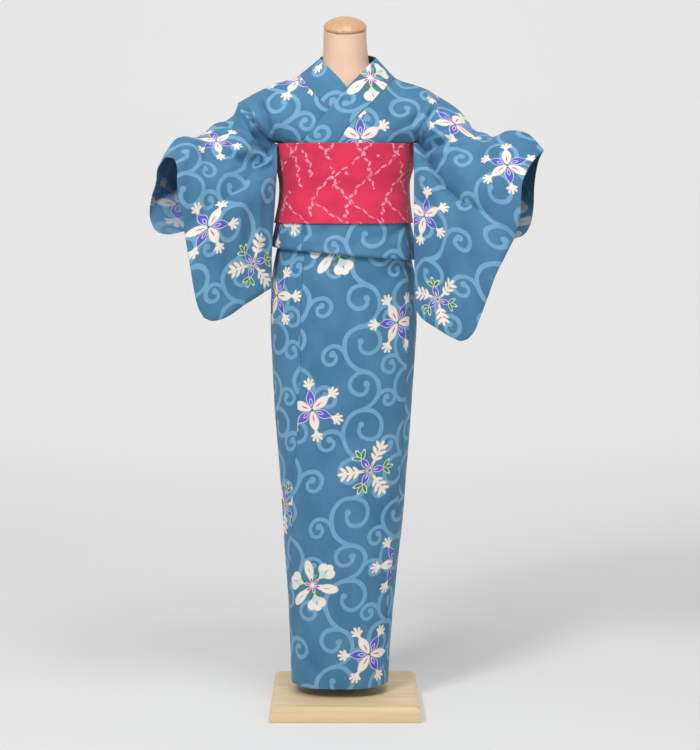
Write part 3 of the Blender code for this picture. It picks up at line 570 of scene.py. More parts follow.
def collarGrid():
    # from the right end round the neck to the left end
    columns = np.linspace(collar["seam"], 1, columnCount["collar"] + 1)
    halves = {}
    for side, sign in (("left", 1), ("right", -1)):
        table = np.array(collarRows[side], float) * mm
        rows = []
        for rise in np.linspace(napeRise, 1, collar["backRows"]):
            turn = edgeTurn(neckline[side], False, sign, rise) if rise > napeRise else 0.0
            turn = np.array(float(turn))
            seam = archPoint(turn, np.array(rise), bodiceOutAt(turn))
            swing = (1 - rise) / (1 - napeRise) * math.pi / 2
            edge = np.array([
                table[0, 2] * math.cos(swing), collar["backDepth"] * math.sin(swing),
                table[0, 3] + collar["backRise"] * math.sin(swing),
            ])
            rows.append(seam + columns[:, None] * (edge - seam))
        for rise in fineRises[-3::-1]:
            turn = np.array(float(collarTurn(side, sign, rise)))
            seam = archPoint(turn, np.array(rise), bodiceOutAt(turn))
            rows.append(collarRow(table, seam[0], seam[2], columns, sign))
        for z in np.arange(heights["armpit"], table[-1, 1], -collar["lowStep"]):
            turn = sign * float(frontEdgeAt(side, sign, z))
            seam = ringPoint(np.array(turn), z, bodiceOutAt(turn))
            rows.append(collarRow(table, seam[0], seam[2], columns, sign))
        halves[side] = rows
    points = np.array(halves["right"][::-1] + halves["left"][1:])
    crown = np.sin(math.pi * columns) * collar["crown"] + waves(points, collar["waves"]) * columns
    points[..., 1] += np.where(points[..., 1] < 0, -1, 1) * crown
    return points


belt = {
    "start": -75.0, "end": 345.0, "clear": 3.9 * mm, "flare": 1.3 * mm, "flareStart": 0.6, "rows": 40,
    "deepest": 0.9 * mm, "waves": [Wave(0.25, 34, 5.0)],
}


def beltGrid():
    turn = np.linspace(belt["start"], belt["end"], columnCount["belt"] + 1)
    out = bodiceOutAt(turn) + belt["clear"]
    rows = []
    for share in np.linspace(0, 1, belt["rows"] + 1):
        z = heights["beltBottom"] + share * (heights["beltTop"] - heights["beltBottom"])
        flare = belt["flare"] * ease((share - belt["flareStart"]) / (1 - belt["flareStart"]))
        rows.append(ringPoint(turn, z, out + flare))
    points = np.array(rows)
    s, c = np.sin(np.radians(turn)), np.cos(np.radians(turn))
    inward = -np.stack([s, c, 0 * s], -1)[None]
    depth = frontness(c)[None] * pressed(beltCreases, points, "belt") - waves(points, belt["waves"])
    return points + inward * np.minimum(depth, belt["deepest"])[..., None]


sleeveEdges = {
    "right": {
        "top": [(-214, 0, 1229), (-220, -8, 1207), (-234, -20, 1194), (-256, -36, 1187), (-276, -55, 1169),
                (-297, -75, 1158), (-312, -90, 1160), (-327, -105, 1156), (-349, -130, 1119)],
        "cuffFront": [(-349, -130, 1119), (-330, -150, 1115), (-323, -165, 1101), (-322, -175, 1071),
                      (-320, -175, 1036), (-312, -165, 1007), (-311, -150, 976)],
        "cuffBack": [(-349, -130, 1119), (-365, -115, 1098), (-370, -98, 1073), (-383, -90, 1028),
                     (-384, -92, 1005), (-372, -112, 978), (-342, -140, 970), (-311, -150, 976)],
        "closed": [(-311, -150, 976), (-300, -150, 909), (-292, -150, 858), (-286, -145, 829),
                   (-275, -140, 807)],
        "bottom": [(-146, -60, 862), (-196, -95, 832), (-245, -130, 803), (-260, -136, 801),
                   (-275, -140, 807)],
        "freeFront": [(-135, -62, 1143), (-134, -70, 1110), (-138, -70, 1036), (-145, -66, 937),
                      (-146, -60, 862)],
        "freeBack": [(-156, -4, 1146), (-147, 30, 1112), (-145, 40, 1040), (-157, 34, 960), (-158, -8, 902),
                     (-146, -60, 862)],
        "facing": (0.6, -0.8, 0.0),
    },
    "left": {
        "top": [(184, 0, 1243), (196, -3, 1236), (230, -15, 1211), (245, -25, 1192), (257, -34, 1173),
                (278, -45, 1168), (290, -57, 1160), (320, -80, 1171), (354, -105, 1166), (386, -130, 1133)],
        "cuffFront": [(386, -130, 1133), (370, -150, 1119), (352, -170, 1096), (340, -180, 1067),
                      (338, -185, 1040), (337, -182, 1005), (327, -155, 961)],
        "cuffBack": [(386, -130, 1133), (378, -116, 1114), (374, -104, 1091), (371, -100, 1061),
                     (370, -100, 1024), (364, -115, 992), (346, -142, 968), (327, -155, 961)],
        "closed": [(327, -155, 961), (309, -155, 925), (293, -155, 893), (278, -155, 851), (263, -150, 809),
                   (250, -145, 778), (240, -142, 766)],
        "bottom": [(140, -85, 821), (150, -91, 806), (177, -110, 787), (212, -130, 767), (227, -138, 762),
                   (240, -142, 766)],
        "freeFront": [(137, -66, 1143), (137, -78, 1110), (137, -80, 1060), (137, -85, 957),
                      (140, -85, 821)],
        "freeBack": [(149, -28, 1143), (150, -38, 1110), (150, -40, 1040), (152, -48, 945),
                     (140, -85, 821)],
        "facing": (-0.6, -0.8, 0.0),
    },
}
sleeve = {
    "puff": 13 * mm, "cuffRows": 8, "freeRows": 84, "seamSide": 4, "cuffSwell": 2.2, "cuffFlatness": 6,
    "foldFade": 9.0, "swellReach": 0.07, "steepShare": 0.55, "apart": 0.65 * mm,
    "bridge": 16 * mm, "bridgeDown": 0.53, "bridgeReach": 0.15,  # the cloth over the arm's hollow
    "waves": [Wave(1.2, 48, 7.0), Wave(0.4, 17, 9.0)], "leanLength": 0.7, "backPrint": 0.7,
}
freeShares = [0, 0.12, 0.26, 0.40, 0.55, 0.70, 0.84, 0.96, 1]  # rows down the edge on the body's side
closedShares = [0, 0.14, 0.28, 0.42, 0.56, 0.70, 0.84, 0.95, 1]  # and down the outer edge
Fold = namedtuple("Fold", "x1 z1 x2 z2 width depth")
sleeveFolds = {
    "left": [
        Fold(155, 1140, 262, 1162, 12, 6), Fold(196, 1176, 290, 1160, 10, 3),
        Fold(190, 1060, 215, 860, 26, 3),
    ],
    "right": [
        Fold(-150, 1110, -205, 1112, 13, 6), Fold(-228, 1178, -262, 1146, 10, 3),
        Fold(-190, 1090, -205, 900, 26, 3),
    ],
}


def swell(share):
    near = np.clip(np.minimum(share, 1 - share) / sleeve["swellReach"], 0, 1)
    return sleeve["steepShare"] * np.sqrt(near) + (1 - sleeve["steepShare"]) * np.sin(math.pi * share)


def foldDepth(side, points):
    depth = np.zeros(points.shape[:-1])
    place = points[..., [0, 2]] / mm
    for fold in sleeveFolds[side]:
        start, end = np.array([fold.x1, fold.z1]), np.array([fold.x2, fold.z2])
        along = end - start
        share = np.clip(((place - start) @ along) / (along @ along), 0, 1)
        off = np.linalg.norm(place - start - share[..., None] * along, axis=-1) / fold.width
        depth += fold.depth * mm * np.exp(-(off**2)) * np.sin(math.pi * np.clip(share, 0.15, 0.85))
    return depth


def armholeEdge(side, sign, front, rises):
    turn = armholeTurn(side, sign, rises) if front else sign * spline(armholeBack[side], rises)
    points = archPoint(turn, rises, bodiceOutAt(turn))
    return bodyRelief(points, turn, rises)


def patch(top, bottom, inner, outer, columns, down):
    # a Coons patch: rows run from the inner to the outer boundary
    u, v = columns[None, :, None], down[:, None, None]
    blend = (1 - v) * top[None] + v * bottom[None] + (1 - u) * inner[:, None] + u * outer[:, None]
    corners = (
        (1 - v) * (1 - u) * top[0] + (1 - v) * u * top[-1] + v * (1 - u) * bottom[0] + v * u * bottom[-1]
    )
    return blend - corners


def sleeveGrid(side, front):
    # one layer, from the armhole and its free edge to the cuff and the closed edge
    sign = 1 if side == "left" else -1
    edges = sleeveEdges[side]
    cuffRows = sleeve["cuffRows"]
    columns = 0.5 - 0.5 * np.cos(math.pi * np.linspace(0, 1, columnCount["sleeve"] + 1))
    rises = fineRises[::-1]
    armKey = np.interp(rises, archRows, np.arange(cuffRows, -1, -1.0))
    freeKey = cuffRows + np.linspace(0, cuffRows, sleeve["freeRows"] + 1)
    name = "Front" if front else "Back"
    gap = seamGap["sleeve"][name.lower()]
    away = np.array([sign * gap, 0, -gap / 2])
    index = np.arange(cuffRows + 1.0)
    free = route(edges["free" + name], np.interp(freeKey - cuffRows, index, freeShares)) * mm
    inner = np.concatenate([armholeEdge(side, sign, front, rises) + away, free])
    cuff = route(edges["cuff" + name], armKey / cuffRows)
    closed = route(edges["closed"], np.interp(freeKey - cuffRows, index, closedShares))
    outer = np.concatenate([cuff, closed]) * mm
    top = route(edges["top"], columns) * mm
    top[0] = inner[0]
    bottom = route(edges["bottom"], columns) * mm
    down = np.concatenate([armKey, freeKey]) / (2 * cuffRows)
    layer = patch(top, bottom, inner, outer, columns, down)
    belowCuff = np.minimum(1, columns * sleeve["seamSide"]) * swell(0.5 + columns / 2)
    atCuff = np.sin(math.pi / 2 * np.minimum(1, sleeve["cuffSwell"] * columns))
    atCuff *= 1 - columns ** sleeve["cuffFlatness"]
    mix = ease((down * 2 * cuffRows - cuffRows + 2) / 5)[:, None]
    share = (atCuff * (1 - mix) + belowCuff * mix) * swell(down)[:, None]
    bridge = front * np.exp(-(((down - sleeve["bridgeDown"]) / sleeve["bridgeReach"]) ** 2))
    bridge = sleeve["bridge"] * bridge[:, None] * np.sin(math.pi * columns)
    facing = np.array(edges["facing"]) * (1 if front else -1)
    held = np.minimum(1, sleeve["foldFade"] * share)
    depth = foldDepth(side, layer) + pressed(sleeveCreases[side][name.lower()], layer, "sleeve")
    depth = (depth - waves(layer, sleeve["waves"], front) - sleeve["apart"]) * held
    return layer + (sleeve["puff"] * share + bridge - depth)[..., None] * facing


Panel = namedtuple("Panel", "points quads place tags")


def sleevePocket(side):
    # both layers as one pocket, joined along the top, the bottom and the closed edge
    edges = sleeveEdges[side]
    sign = 1 if side == "left" else -1
    facing = np.array(edges["facing"])
    along = np.array([-sign * facing[1], sign * facing[0], 0])
    front, back = sleeveGrid(side, True), sleeveGrid(side, False)
    shared = np.zeros(front.shape[:2], bool)
    shared[0] = shared[-1] = True
    shared[archSteps + 1:, -1] = True
    halfway = (front + back) / 2
    front[shared] = back[shared] = halfway[shared]
    panels = []
    for layer, face, way in ((front, "front", 1), (back, "back", -1)):
        # the front's cloth is longer than its height where it leans back
        across, down = layer @ along, layer[..., 2]
        if face == "front":
            down = down - sleeve["leanLength"] * layer @ facing
        else:
            across = across + sleeve["backPrint"]
        place = np.stack([across, down], -1)
        panels.append(panelOf(layer, place, [face] * (len(layer) - 1), way * facing))
    count = front.shape[0] * front.shape[1]
    same = np.arange(count) + np.where(shared.reshape(-1), 0, count)
    quads = np.concatenate([panels[0].quads, same[panels[1].quads]])
    points = np.concatenate([panels[0].points, panels[1].points])
    used, quads = np.unique(quads, return_inverse=True)
    return Panel(
        points[used], quads.reshape(-1, 4), np.concatenate([panel.place for panel in panels]),
        np.concatenate([panel.tags for panel in panels]),
    )


def panelOf(points, place, rowTags, outward=None):
    # a grid's faces, turned so that the right side of the cloth looks outward, or away from the body
    rows, columns = points.shape[:2]
    index = np.arange(rows * columns).reshape(rows, columns)
    quads = np.stack([index[:-1, :-1], index[:-1, 1:], index[1:, 1:], index[1:, :-1]], -1).reshape(-1, 4)
    points, place = points.reshape(-1, 3), place.reshape(-1, 2)
    tags = np.repeat(np.array(rowTags), columns - 1)
    normal = np.cross(points[quads[:, 2]] - points[quads[:, 0]], points[quads[:, 3]] - points[quads[:, 1]])
    if outward is None:
        outward = points[quads].mean(axis=1) * np.array([1, 1, 0])
    judged = np.char.find(tags, "tuck") < 0
    if (normal * outward)[judged].sum() < 0:
        quads = quads[:, ::-1]
    return Panel(points, quads, place[quads], tags)


def setActive(obj):
    bpy.ops.object.select_all(action="DESELECT")
    obj.select_set(True)
    bpy.context.view_layer.objects.active = obj


def applyModifier(obj, kind, **settings):
    setActive(obj)
    modifier = obj.modifiers.new(kind.title(), kind)
    for key, value in settings.items():
        setattr(modifier, key, value)
    bpy.ops.object.modifier_apply(modifier=modifier.name)


def bevel(obj, width, segments, angle):
    applyModifier(
        obj, "BEVEL", width=width, segments=segments, limit_method="ANGLE", angle_limit=math.radians(angle))


# Flowers: which one each face shows, and where in it. A flower's place is where it is seen from the
# front, on the layer with its tag, and turned is how far its first arm leans from +X. One whose centre
# lies off the cloth is measured from an anchor on it.
Bloom = namedtuple("Bloom", "kind x z turned tag size anchor", defaults=(1.0, None))
bloomRadius = {1: 66 * mm, 2: 60 * mm, 3: 55 * mm}
bloomReach = 1.25


def addBlooms(mesh, panel, blooms):
    kind = np.zeros(len(panel.quads), np.float32)
    place = np.zeros_like(panel.place)
    nearest = np.full(len(panel.quads), np.inf)
    middle, middlePlace = panel.points[panel.quads].mean(axis=1), panel.place.mean(axis=1)
    face = np.array([tag.split()[0] for tag in panel.tags])
    for bloom in blooms:
        seenAt = np.array([bloom.x, bloom.z]) * mm
        start = seenAt if bloom.anchor is None else np.array(bloom.anchor) * mm
        off = np.linalg.norm(middle[:, [0, 2]] - start, axis=1) + 1e3 * (panel.tags != bloom.tag)
        at = int(np.argmin(off))
        seen, flat = panel.points[panel.quads[at]][:, [0, 2]], panel.place[at]
        seenSteps = np.column_stack([seen[1] - seen[0], seen[3] - seen[0]])
        flatSteps = np.column_stack([flat[1] - flat[0], flat[3] - flat[0]])
        toFlat = flatSteps @ np.linalg.pinv(seenSteps)
        left, _, right = np.linalg.svd(toFlat)
        centre = flat.mean(axis=0) + (left @ right) @ (seenAt - seen.mean(axis=0))
        radius = bloomRadius[bloom.kind] * bloom.size
        apart = np.linalg.norm(middlePlace - centre, axis=1) / radius
        near = (apart < bloomReach) & (apart < nearest) & (face == bloom.tag.split()[0])
        angle = math.radians(bloom.turned)
        turning = np.array([[math.cos(angle), math.sin(angle)], [-math.sin(angle), math.cos(angle)]])
        place[near] = (panel.place[near] - centre) @ (turning @ (left @ right).T).T / radius
        kind[near] = bloom.kind
        nearest[near] = apart[near]
    mesh.uv_layers.new(name="bloomPlace").data.foreach_set("uv", place.reshape(-1).astype(np.float32))
    mesh.attributes.new("bloomKind", "FLOAT", "FACE").data.foreach_set("value", kind)


def makeCloth(name, panel, wall, materials, blooms=(), shift=(0, 0), rounded=0):
    # a shell round the middle surface, with the cloth's own coordinates on both faces
    mesh = bpy.data.meshes.new(name)
    mesh.from_pydata(panel.points.tolist(), [], panel.quads.tolist())
    obj = bpy.data.objects.new(name, mesh)
    bpy.context.scene.collection.objects.link(obj)
    shifted = panel.place + np.array(shift)
    mesh.uv_layers.new(name="clothPlace").data.foreach_set("uv", shifted.reshape(-1).astype(np.float32))
    addBlooms(mesh, panel, blooms)
    for material in materials:
        mesh.materials.append(material)
    applyModifier(
        obj, "SOLIDIFY", thickness=wall, offset=0, use_rim=True, material_offset=len(materials) - 1)
    if rounded:
        bevel(obj, rounded, 3, 60)
    obj.data.shade_smooth()
    obj.data.set_sharp_from_angle(angle=math.radians(50))
    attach(obj, "root")
    corners = panel.points[panel.quads]
    crossed = np.cross(corners[:, 2] - corners[:, 0], corners[:, 3] - corners[:, 1])
    area = np.linalg.norm(crossed, axis=1).sum() / 2
    print(f"{name}: {len(obj.data.polygons)} faces, {area:.4f} m2 of cloth")
    return obj


def feed(tree, node, values):
    # links or plain values on a node's sockets
    for key, value in values.items():
        if isinstance(value, bpy.types.NodeSocket):
            tree.links.new(value, node.inputs[key])
        else:
            node.inputs[key].default_value = value


def put(tree, kind, values=(), **settings):
    node = tree.nodes.new(kind)
    for key, value in settings.items():
        setattr(node, key, value)
    feed(tree, node, values if isinstance(values, dict) else dict(enumerate(values)))
    return node


def calc(tree, operation, *values):
    return put(tree, "ShaderNodeMath", values, operation=operation).outputs[0]


def vec(tree, operation, *values):
    node = put(tree, "ShaderNodeVectorMath", values, operation=operation)
    return node.outputs["Value" if operation in ("LENGTH", "DISTANCE") else "Vector"]


def scaled(tree, vector, by):
    return put(tree, "ShaderNodeVectorMath", {0: vector, "Scale": by}, operation="SCALE").outputs["Vector"]


def axes(tree, vector):
    return put(tree, "ShaderNodeSeparateXYZ", [vector]).outputs


def joined(tree, *parts):
    return put(tree, "ShaderNodeCombineXYZ", parts).outputs[0]


def mapped(tree, place, start, turned, size):
    # a place seen from a point that is turned and sized
    values = {0: place, 1: start, 2: turned, 3: size}
    return put(tree, "ShaderNodeMapping", values, vector_type="TEXTURE").outputs[0]


def blendColour(tree, share, low, high):
    return put(tree, "ShaderNodeMix", {0: share, 6: low, 7: high}, data_type="RGBA").outputs[2]


def fade(tree, value, start, end, low=0.0, high=1.0):
    values = {0: value, 1: start, 2: end, 3: low, 4: high}
    return put(tree, "ShaderNodeMapRange", values, interpolation_type="SMOOTHSTEP").outputs[0]


def noise(tree, place, scale, detail=2.0, output=0):
    values = {"Vector": place, "Scale": scale, "Detail": detail}
    return put(tree, "ShaderNodeTexNoise", values).outputs[output]


def newGroup(name, inputs, outputs):
    tree = bpy.data.node_groups.new(name, "ShaderNodeTree")
    for direction, sockets in (("INPUT", inputs), ("OUTPUT", outputs)):
        for label, kind in sockets.items():
            tree.interface.new_socket(label, in_out=direction, socket_type="NodeSocket" + kind)
    return tree, tree.nodes.new("NodeGroupInput").outputs, tree.nodes.new("NodeGroupOutput").inputs


def use(tree, group, **values):
    return put(tree, "ShaderNodeGroup", values, node_tree=group).outputs


def newMaterial(name):
    material = bpy.data.materials.new(name)
    material.use_nodes = True
    tree = material.node_tree
    return material, tree, tree.nodes["Principled BSDF"]


def bump(tree, height, strength, distance):
    values = {"Height": height, "Strength": strength, "Distance": distance}
    return put(tree, "ShaderNodeBump", values).outputs[0]


def objectPlace(tree):
    return put(tree, "ShaderNodeTexCoord").outputs["Object"]


# The vine scroll: each chain is a row of curls that leave one another on alternate sides. A row gives
# the curl's radius in mm, where the next curl leaves it in degrees, where its side curl leaves it, and
# the side curl's radius and turns.
vine = {
    "growth": 0.17, "turns": 1.3, "cell": 248.0, "halfWidth": 4.3, "tip": 6.4,
    "starts": ((0, 0), (118, 190)), "warp": 3.5, "warpScale": 0.012, "thinnest": 3.0, "widening": 0.05,
    "farAway": 500.0, "soft": 0.7, "soakedBy": 1.6,
}
Curl = namedtuple("Curl", "radius leave sideLeave sideRadius sideTurns")
vineChains = [
    [Curl(66, 150, 55, 30, 1.2), Curl(50, 158, 45, 26, 1.1), Curl(60, 142, 60, 30, 1.2),
     Curl(46, 160, 50, 24, 1.1)],
    [Curl(52, 155, 60, 26, 1.15), Curl(64, 146, 50, 32, 1.2), Curl(46, 158, 55, 24, 1.1),
     Curl(60, 148, 60, 28, 1.2)],
]
Spiral = namedtuple("Spiral", "x y radius start hand turns")


def onSpiral(spiral, angle):
    # a point of a spiral that winds inwards, and the way that it heads there
    radius = spiral.radius * math.exp(-vine["growth"] * angle)
    turned = spiral.start + spiral.hand * angle
    point = (spiral.x + radius * math.cos(turned), spiral.y + radius * math.sin(turned))
    return point, turned + spiral.hand * (math.pi / 2 + math.atan(vine["growth"]))


def spiralFrom(point, heading, radius, hand, turns):
    start = heading - hand * (math.pi / 2 + math.atan(vine["growth"]))
    x, y = point[0] - radius * math.cos(start), point[1] - radius * math.sin(start)
    return Spiral(x, y, radius, start, hand, turns)


def vineChain(point, heading, curls, size):
    spirals, hand = [], 1
    for curl in curls:
        main = spiralFrom(point, heading, curl.radius * size, hand, vine["turns"])
        spirals += [main, spiralFrom(
            *onSpiral(main, math.radians(curl.sideLeave)), curl.sideRadius * size, -hand, curl.sideTurns)]
        point, heading = onSpiral(main, math.radians(curl.leave))
        hand = -hand
    return spirals, point


def vineSpirals():
    # both chains run straight up, and the second is sized to the same height
    spirals, height = [], 0
    for curls, start in zip(vineChains, vine["starts"]):
        _, end = vineChain((0, 0), 0, curls, 1)
        length, lean = math.hypot(*end), math.atan2(end[1], end[0])
        height = height or length
        spirals += vineChain(start, math.pi / 2 - lean, curls, height / length)[0]
    return spirals, height


def makeCurlGroup(cell):
    inputs = {"Place": "Vector", "Centre": "Vector", "Tip": "Vector", "Size": "Float", "Phase": "Float",
              "Hand": "Float", "Turns": "Float"}
    tree, entry, leave = newGroup("vineCurl", inputs, {"Distance": "Float"})
    growth = vine["growth"]
    away = vec(tree, "SUBTRACT", entry["Place"], entry["Centre"])
    away = vec(tree, "WRAP", away, cell, (-cell[0], -cell[1], -1))
    parts = axes(tree, away)
    radius = vec(tree, "LENGTH", away)
    angle = calc(tree, "ARCTAN2", parts[1], parts[0])
    inward = calc(tree, "LOGARITHM", radius, math.exp(2 * math.pi * growth))
    wound = calc(tree, "MULTIPLY_ADD", angle, entry["Hand"], inward)
    off = calc(tree, "WRAP", calc(tree, "SUBTRACT", entry["Phase"], wound), 0.5, -0.5)
    at = calc(tree, "SUBTRACT", calc(tree, "SUBTRACT", entry["Size"], inward), off)
    past = calc(tree, "ABSOLUTE", calc(tree, "SUBTRACT", at, calc(tree, "MULTIPLY", entry["Turns"], 0.5)))
    outside = calc(tree, "GREATER_THAN", past, calc(tree, "MULTIPLY", entry["Turns"], 0.5))
    slope = 2 * math.pi * growth / math.sqrt(1 + growth**2)
    gap = calc(tree, "MULTIPLY", calc(tree, "MULTIPLY", calc(tree, "ABSOLUTE", off), radius), slope)
    half = calc(tree, "MULTIPLY_ADD", radius, vine["widening"], vine["thinnest"])
    half = calc(tree, "MINIMUM", half, vine["halfWidth"])
    band = calc(tree, "MULTIPLY_ADD", outside, vine["farAway"], calc(tree, "SUBTRACT", gap, half))
    tip = calc(tree, "SUBTRACT", vec(tree, "DISTANCE", away, entry["Tip"]), vine["tip"])
    tree.links.new(calc(tree, "MINIMUM", band, tip), leave["Distance"])
    return tree


def makeVineGroup():
    # how far a place on the cloth, in mm, lies from the nearest vine
    spirals, height = vineSpirals()
    cell = (vine["cell"] / 2, height / 2, 1)
    curl = makeCurlGroup(cell)
    tree, entry, leave = newGroup("vineScroll", {"Place": "Vector"}, {"Distance": "Float"})
    sway = vec(tree, "SUBTRACT", noise(tree, entry["Place"], vine["warpScale"], 1.0, 1), (0.5, 0.5, 0.5))
    sway = scaled(tree, sway, 4 * vine["warp"])
    place = vec(tree, "MULTIPLY", vec(tree, "ADD", entry["Place"], sway), (1, 1, 0))
    nearest = None
    around = 2 * math.pi
    for spiral in spirals:
        tip = onSpiral(spiral, spiral.turns * around)[0]
        size = math.log(spiral.radius) / (around * vine["growth"])
        distance = use(
            tree, curl, Place=place, Centre=(spiral.x, spiral.y, 0),
            Tip=(tip[0] - spiral.x, tip[1] - spiral.y, 0), Size=size, Turns=spiral.turns,
            Phase=size + spiral.hand * spiral.start / around, Hand=spiral.hand / around)["Distance"]
        nearest = distance if nearest is None else calc(tree, "MINIMUM", nearest, distance)
    tree.links.new(nearest, leave["Distance"])
    return tree


def weaveGroup():
    # plain weave: yarns over and under each other, from a place in mm
    tree, entry, leave = newGroup("plainWeave", {"Place": "Vector", "Pitch": "Float"}, {"Height": "Float"})
    parts = axes(tree, scaled(tree, entry["Place"], calc(tree, "DIVIDE", 2 * math.pi, entry["Pitch"])))
    waves = calc(tree, "MULTIPLY", calc(tree, "SINE", parts[0]), calc(tree, "SINE", parts[1]))
    slub = noise(tree, vec(tree, "MULTIPLY", entry["Place"], (0.9, 0.12, 1)), 1.0, 3.0)
    tree.links.new(calc(tree, "MULTIPLY_ADD", waves, 0.5, slub), leave["Height"])
    return tree


def srgb(red, green, blue):
    # a linear colour from the usual 0 to 255 values
    values = [((c / 255 + 0.055) / 1.055) ** 2.4 if c > 10 else c / 3294.6 for c in (red, green, blue)]
    return (*values, 1)


inks = {
    "white": srgb(236, 230, 220), "edge": srgb(214, 196, 178), "violet": srgb(92, 90, 198),
    "green": srgb(66, 134, 70), "red": srgb(206, 70, 104), "pink": srgb(222, 70, 130),
    "paleBlue": srgb(196, 218, 226), "line": srgb(96, 112, 128),
}


def oval(tree, place, x, turned, length, width, y=0.0):
    # how far outside an oval a place lies
    local = mapped(tree, place, (x, y, 0), (0, 0, math.radians(turned)), (length, width, 1))
    return calc(tree, "MULTIPLY", calc(tree, "SUBTRACT", vec(tree, "LENGTH", local), 1.0), width)


def petal(tree, place, start, end, width):
    # how far outside a petal with pointed ends a place lies, widest nearer its outer end
    parts = axes(tree, mapped(tree, place, (start, 0, 0), (0, 0, 0), (end - start, 1, 1)))
    share = put(tree, "ShaderNodeClamp", [parts[0]]).outputs[0]
    bow = calc(tree, "SINE", calc(tree, "MULTIPLY", calc(tree, "POWER", share, 1.15), math.pi))
    past = calc(tree, "ABSOLUTE", calc(tree, "SUBTRACT", parts[0], share))
    off = calc(tree, "ADD", calc(tree, "ABSOLUTE", parts[1]), past)
    return calc(tree, "MULTIPLY_ADD", bow, -width, off)


def nearestOf(tree, *distances):
    nearest = distances[0]
    for distance in distances[1:]:
        nearest = calc(tree, "MINIMUM", nearest, distance)
    return nearest


def makeArmsGroup():
    # folds a flower's place on to its even and its odd arms, each along +X and with both halves alike
    outputs = {"Even": "Vector", "Odd": "Vector", "Radius": "Float"}
    tree, entry, leave = newGroup("sixArms", {"Place": "Vector"}, outputs)
    flat = vec(tree, "MULTIPLY", entry["Place"], (1, 1, 0))
    parts = axes(tree, flat)
    radius = vec(tree, "LENGTH", flat)
    third = math.pi / 3
    angle = calc(tree, "WRAP", calc(tree, "ARCTAN2", parts[1], parts[0]), third, -third)
    angle = calc(tree, "ABSOLUTE", angle)
    for label, local in (("Even", angle), ("Odd", calc(tree, "SUBTRACT", third, angle))):
        x = calc(tree, "MULTIPLY", radius, calc(tree, "COSINE", local))
        y = calc(tree, "MULTIPLY", radius, calc(tree, "SINE", local))
        tree.links.new(joined(tree, x, y), leave[label])
    tree.links.new(radius, leave["Radius"])
    return tree


def finger(tree, place, x, y, turned, half, width):
    # how far outside a blunt strip round a line a place lies
    parts = axes(tree, mapped(tree, place, (x, y, 0), (0, 0, math.radians(turned)), (1, 1, 1)))
    past = calc(tree, "MAXIMUM", calc(tree, "SUBTRACT", calc(tree, "ABSOLUTE", parts[0]), half), 0.0)
    return calc(tree, "SUBTRACT", vec(tree, "LENGTH", joined(tree, past, parts[1])), width)


# A flower is made of shapes on its even and its odd arms. A shape's row gives the function, the arms and
# the sizes as shares of the flower's radius. Layers are painted one over another, and grown moves a
# shape's edge out.
Layer = namedtuple("Layer", "ink shapes grown soft", defaults=(0.0, 0.011))
fan = [  # five short fingers spread from the end of an arm
    (finger, 0.86, 0, 0, 0.10, 0.030), (finger, 0.835, 0.078, 31, 0.080, 0.027),
    (finger, 0.762, 0.100, 64, 0.052, 0.025), (oval, 0.72, 0, 0.09, 0.055),
]
flowerShapes = {
    "starFlower": {
        "buds": [(draw, arm, *sizes) for arm in ("Even", "Odd") for draw, *sizes in fan],
        "whitePetal": [(petal, "Odd", 0.0, 0.66, 0.138)], "violetPetal": [(petal, "Even", 0.02, 0.62, 0.118)],
        "loop": [(petal, "Even", 0.10, 0.38, 0.052)], "stripe": [(oval, "Odd", 0.25, 0, 0.11, 0.020)],
    },
    "featherFlower": {
        "feather": [
            (oval, "Even", 0.45, 0, 0.42, 0.040), (oval, "Even", 0.92, 0, 0.13, 0.055),
            (oval, "Even", 0.86, 48, 0.14, 0.052, 0.12), (oval, "Even", 0.66, 50, 0.15, 0.054, 0.13),
            (oval, "Even", 0.46, 52, 0.12, 0.046, 0.10)],
        "sprig": [(oval, "Odd", 0.70, 0, 0.13, 0.050), (oval, "Odd", 0.60, 46, 0.14, 0.052, 0.12)],
        "violetPetal": [(petal, "Odd", 0.05, 0.50, 0.095)], "stripe": [(oval, "Odd", 0.22, 0, 0.09, 0.018)],
        "veins": [
            (oval, "Even", 0.74, 50, 0.05, 0.011, 0.10), (oval, "Even", 0.54, 50, 0.05, 0.011, 0.09),
            (oval, "Even", 0.16, 0, 0.09, 0.018)],
    },
    "roundFlower": {
        "longPetal": [(oval, "Even", 0.66, 0, 0.33, 0.165), (petal, "Even", 0.05, 0.80, 0.11)],
        "blossom": [
            (oval, "Odd", 0.86, 0, 0.15, 0.15), (oval, "Odd", 0.74, 0, 0.17, 0.15, 0.20),
            (oval, "Odd", 0.58, 0, 0.22, 0.17, 0.06)],
        "shade": [(oval, "Odd", 0.56, 0, 0.15, 0.16)], "crease": [(oval, "Even", 0.58, 0, 0.10, 0.012)],
        "stripe": [(oval, "Odd", 0.72, 0, 0.075, 0.020)],
        "leaves": [(oval, "Odd", 0.42, 42, 0.16, 0.052, 0.13)],
        "spokes": [(oval, "Even", 0.20, 0, 0.09, 0.036), (oval, "Odd", 0.20, 0, 0.09, 0.036)],
    },
}
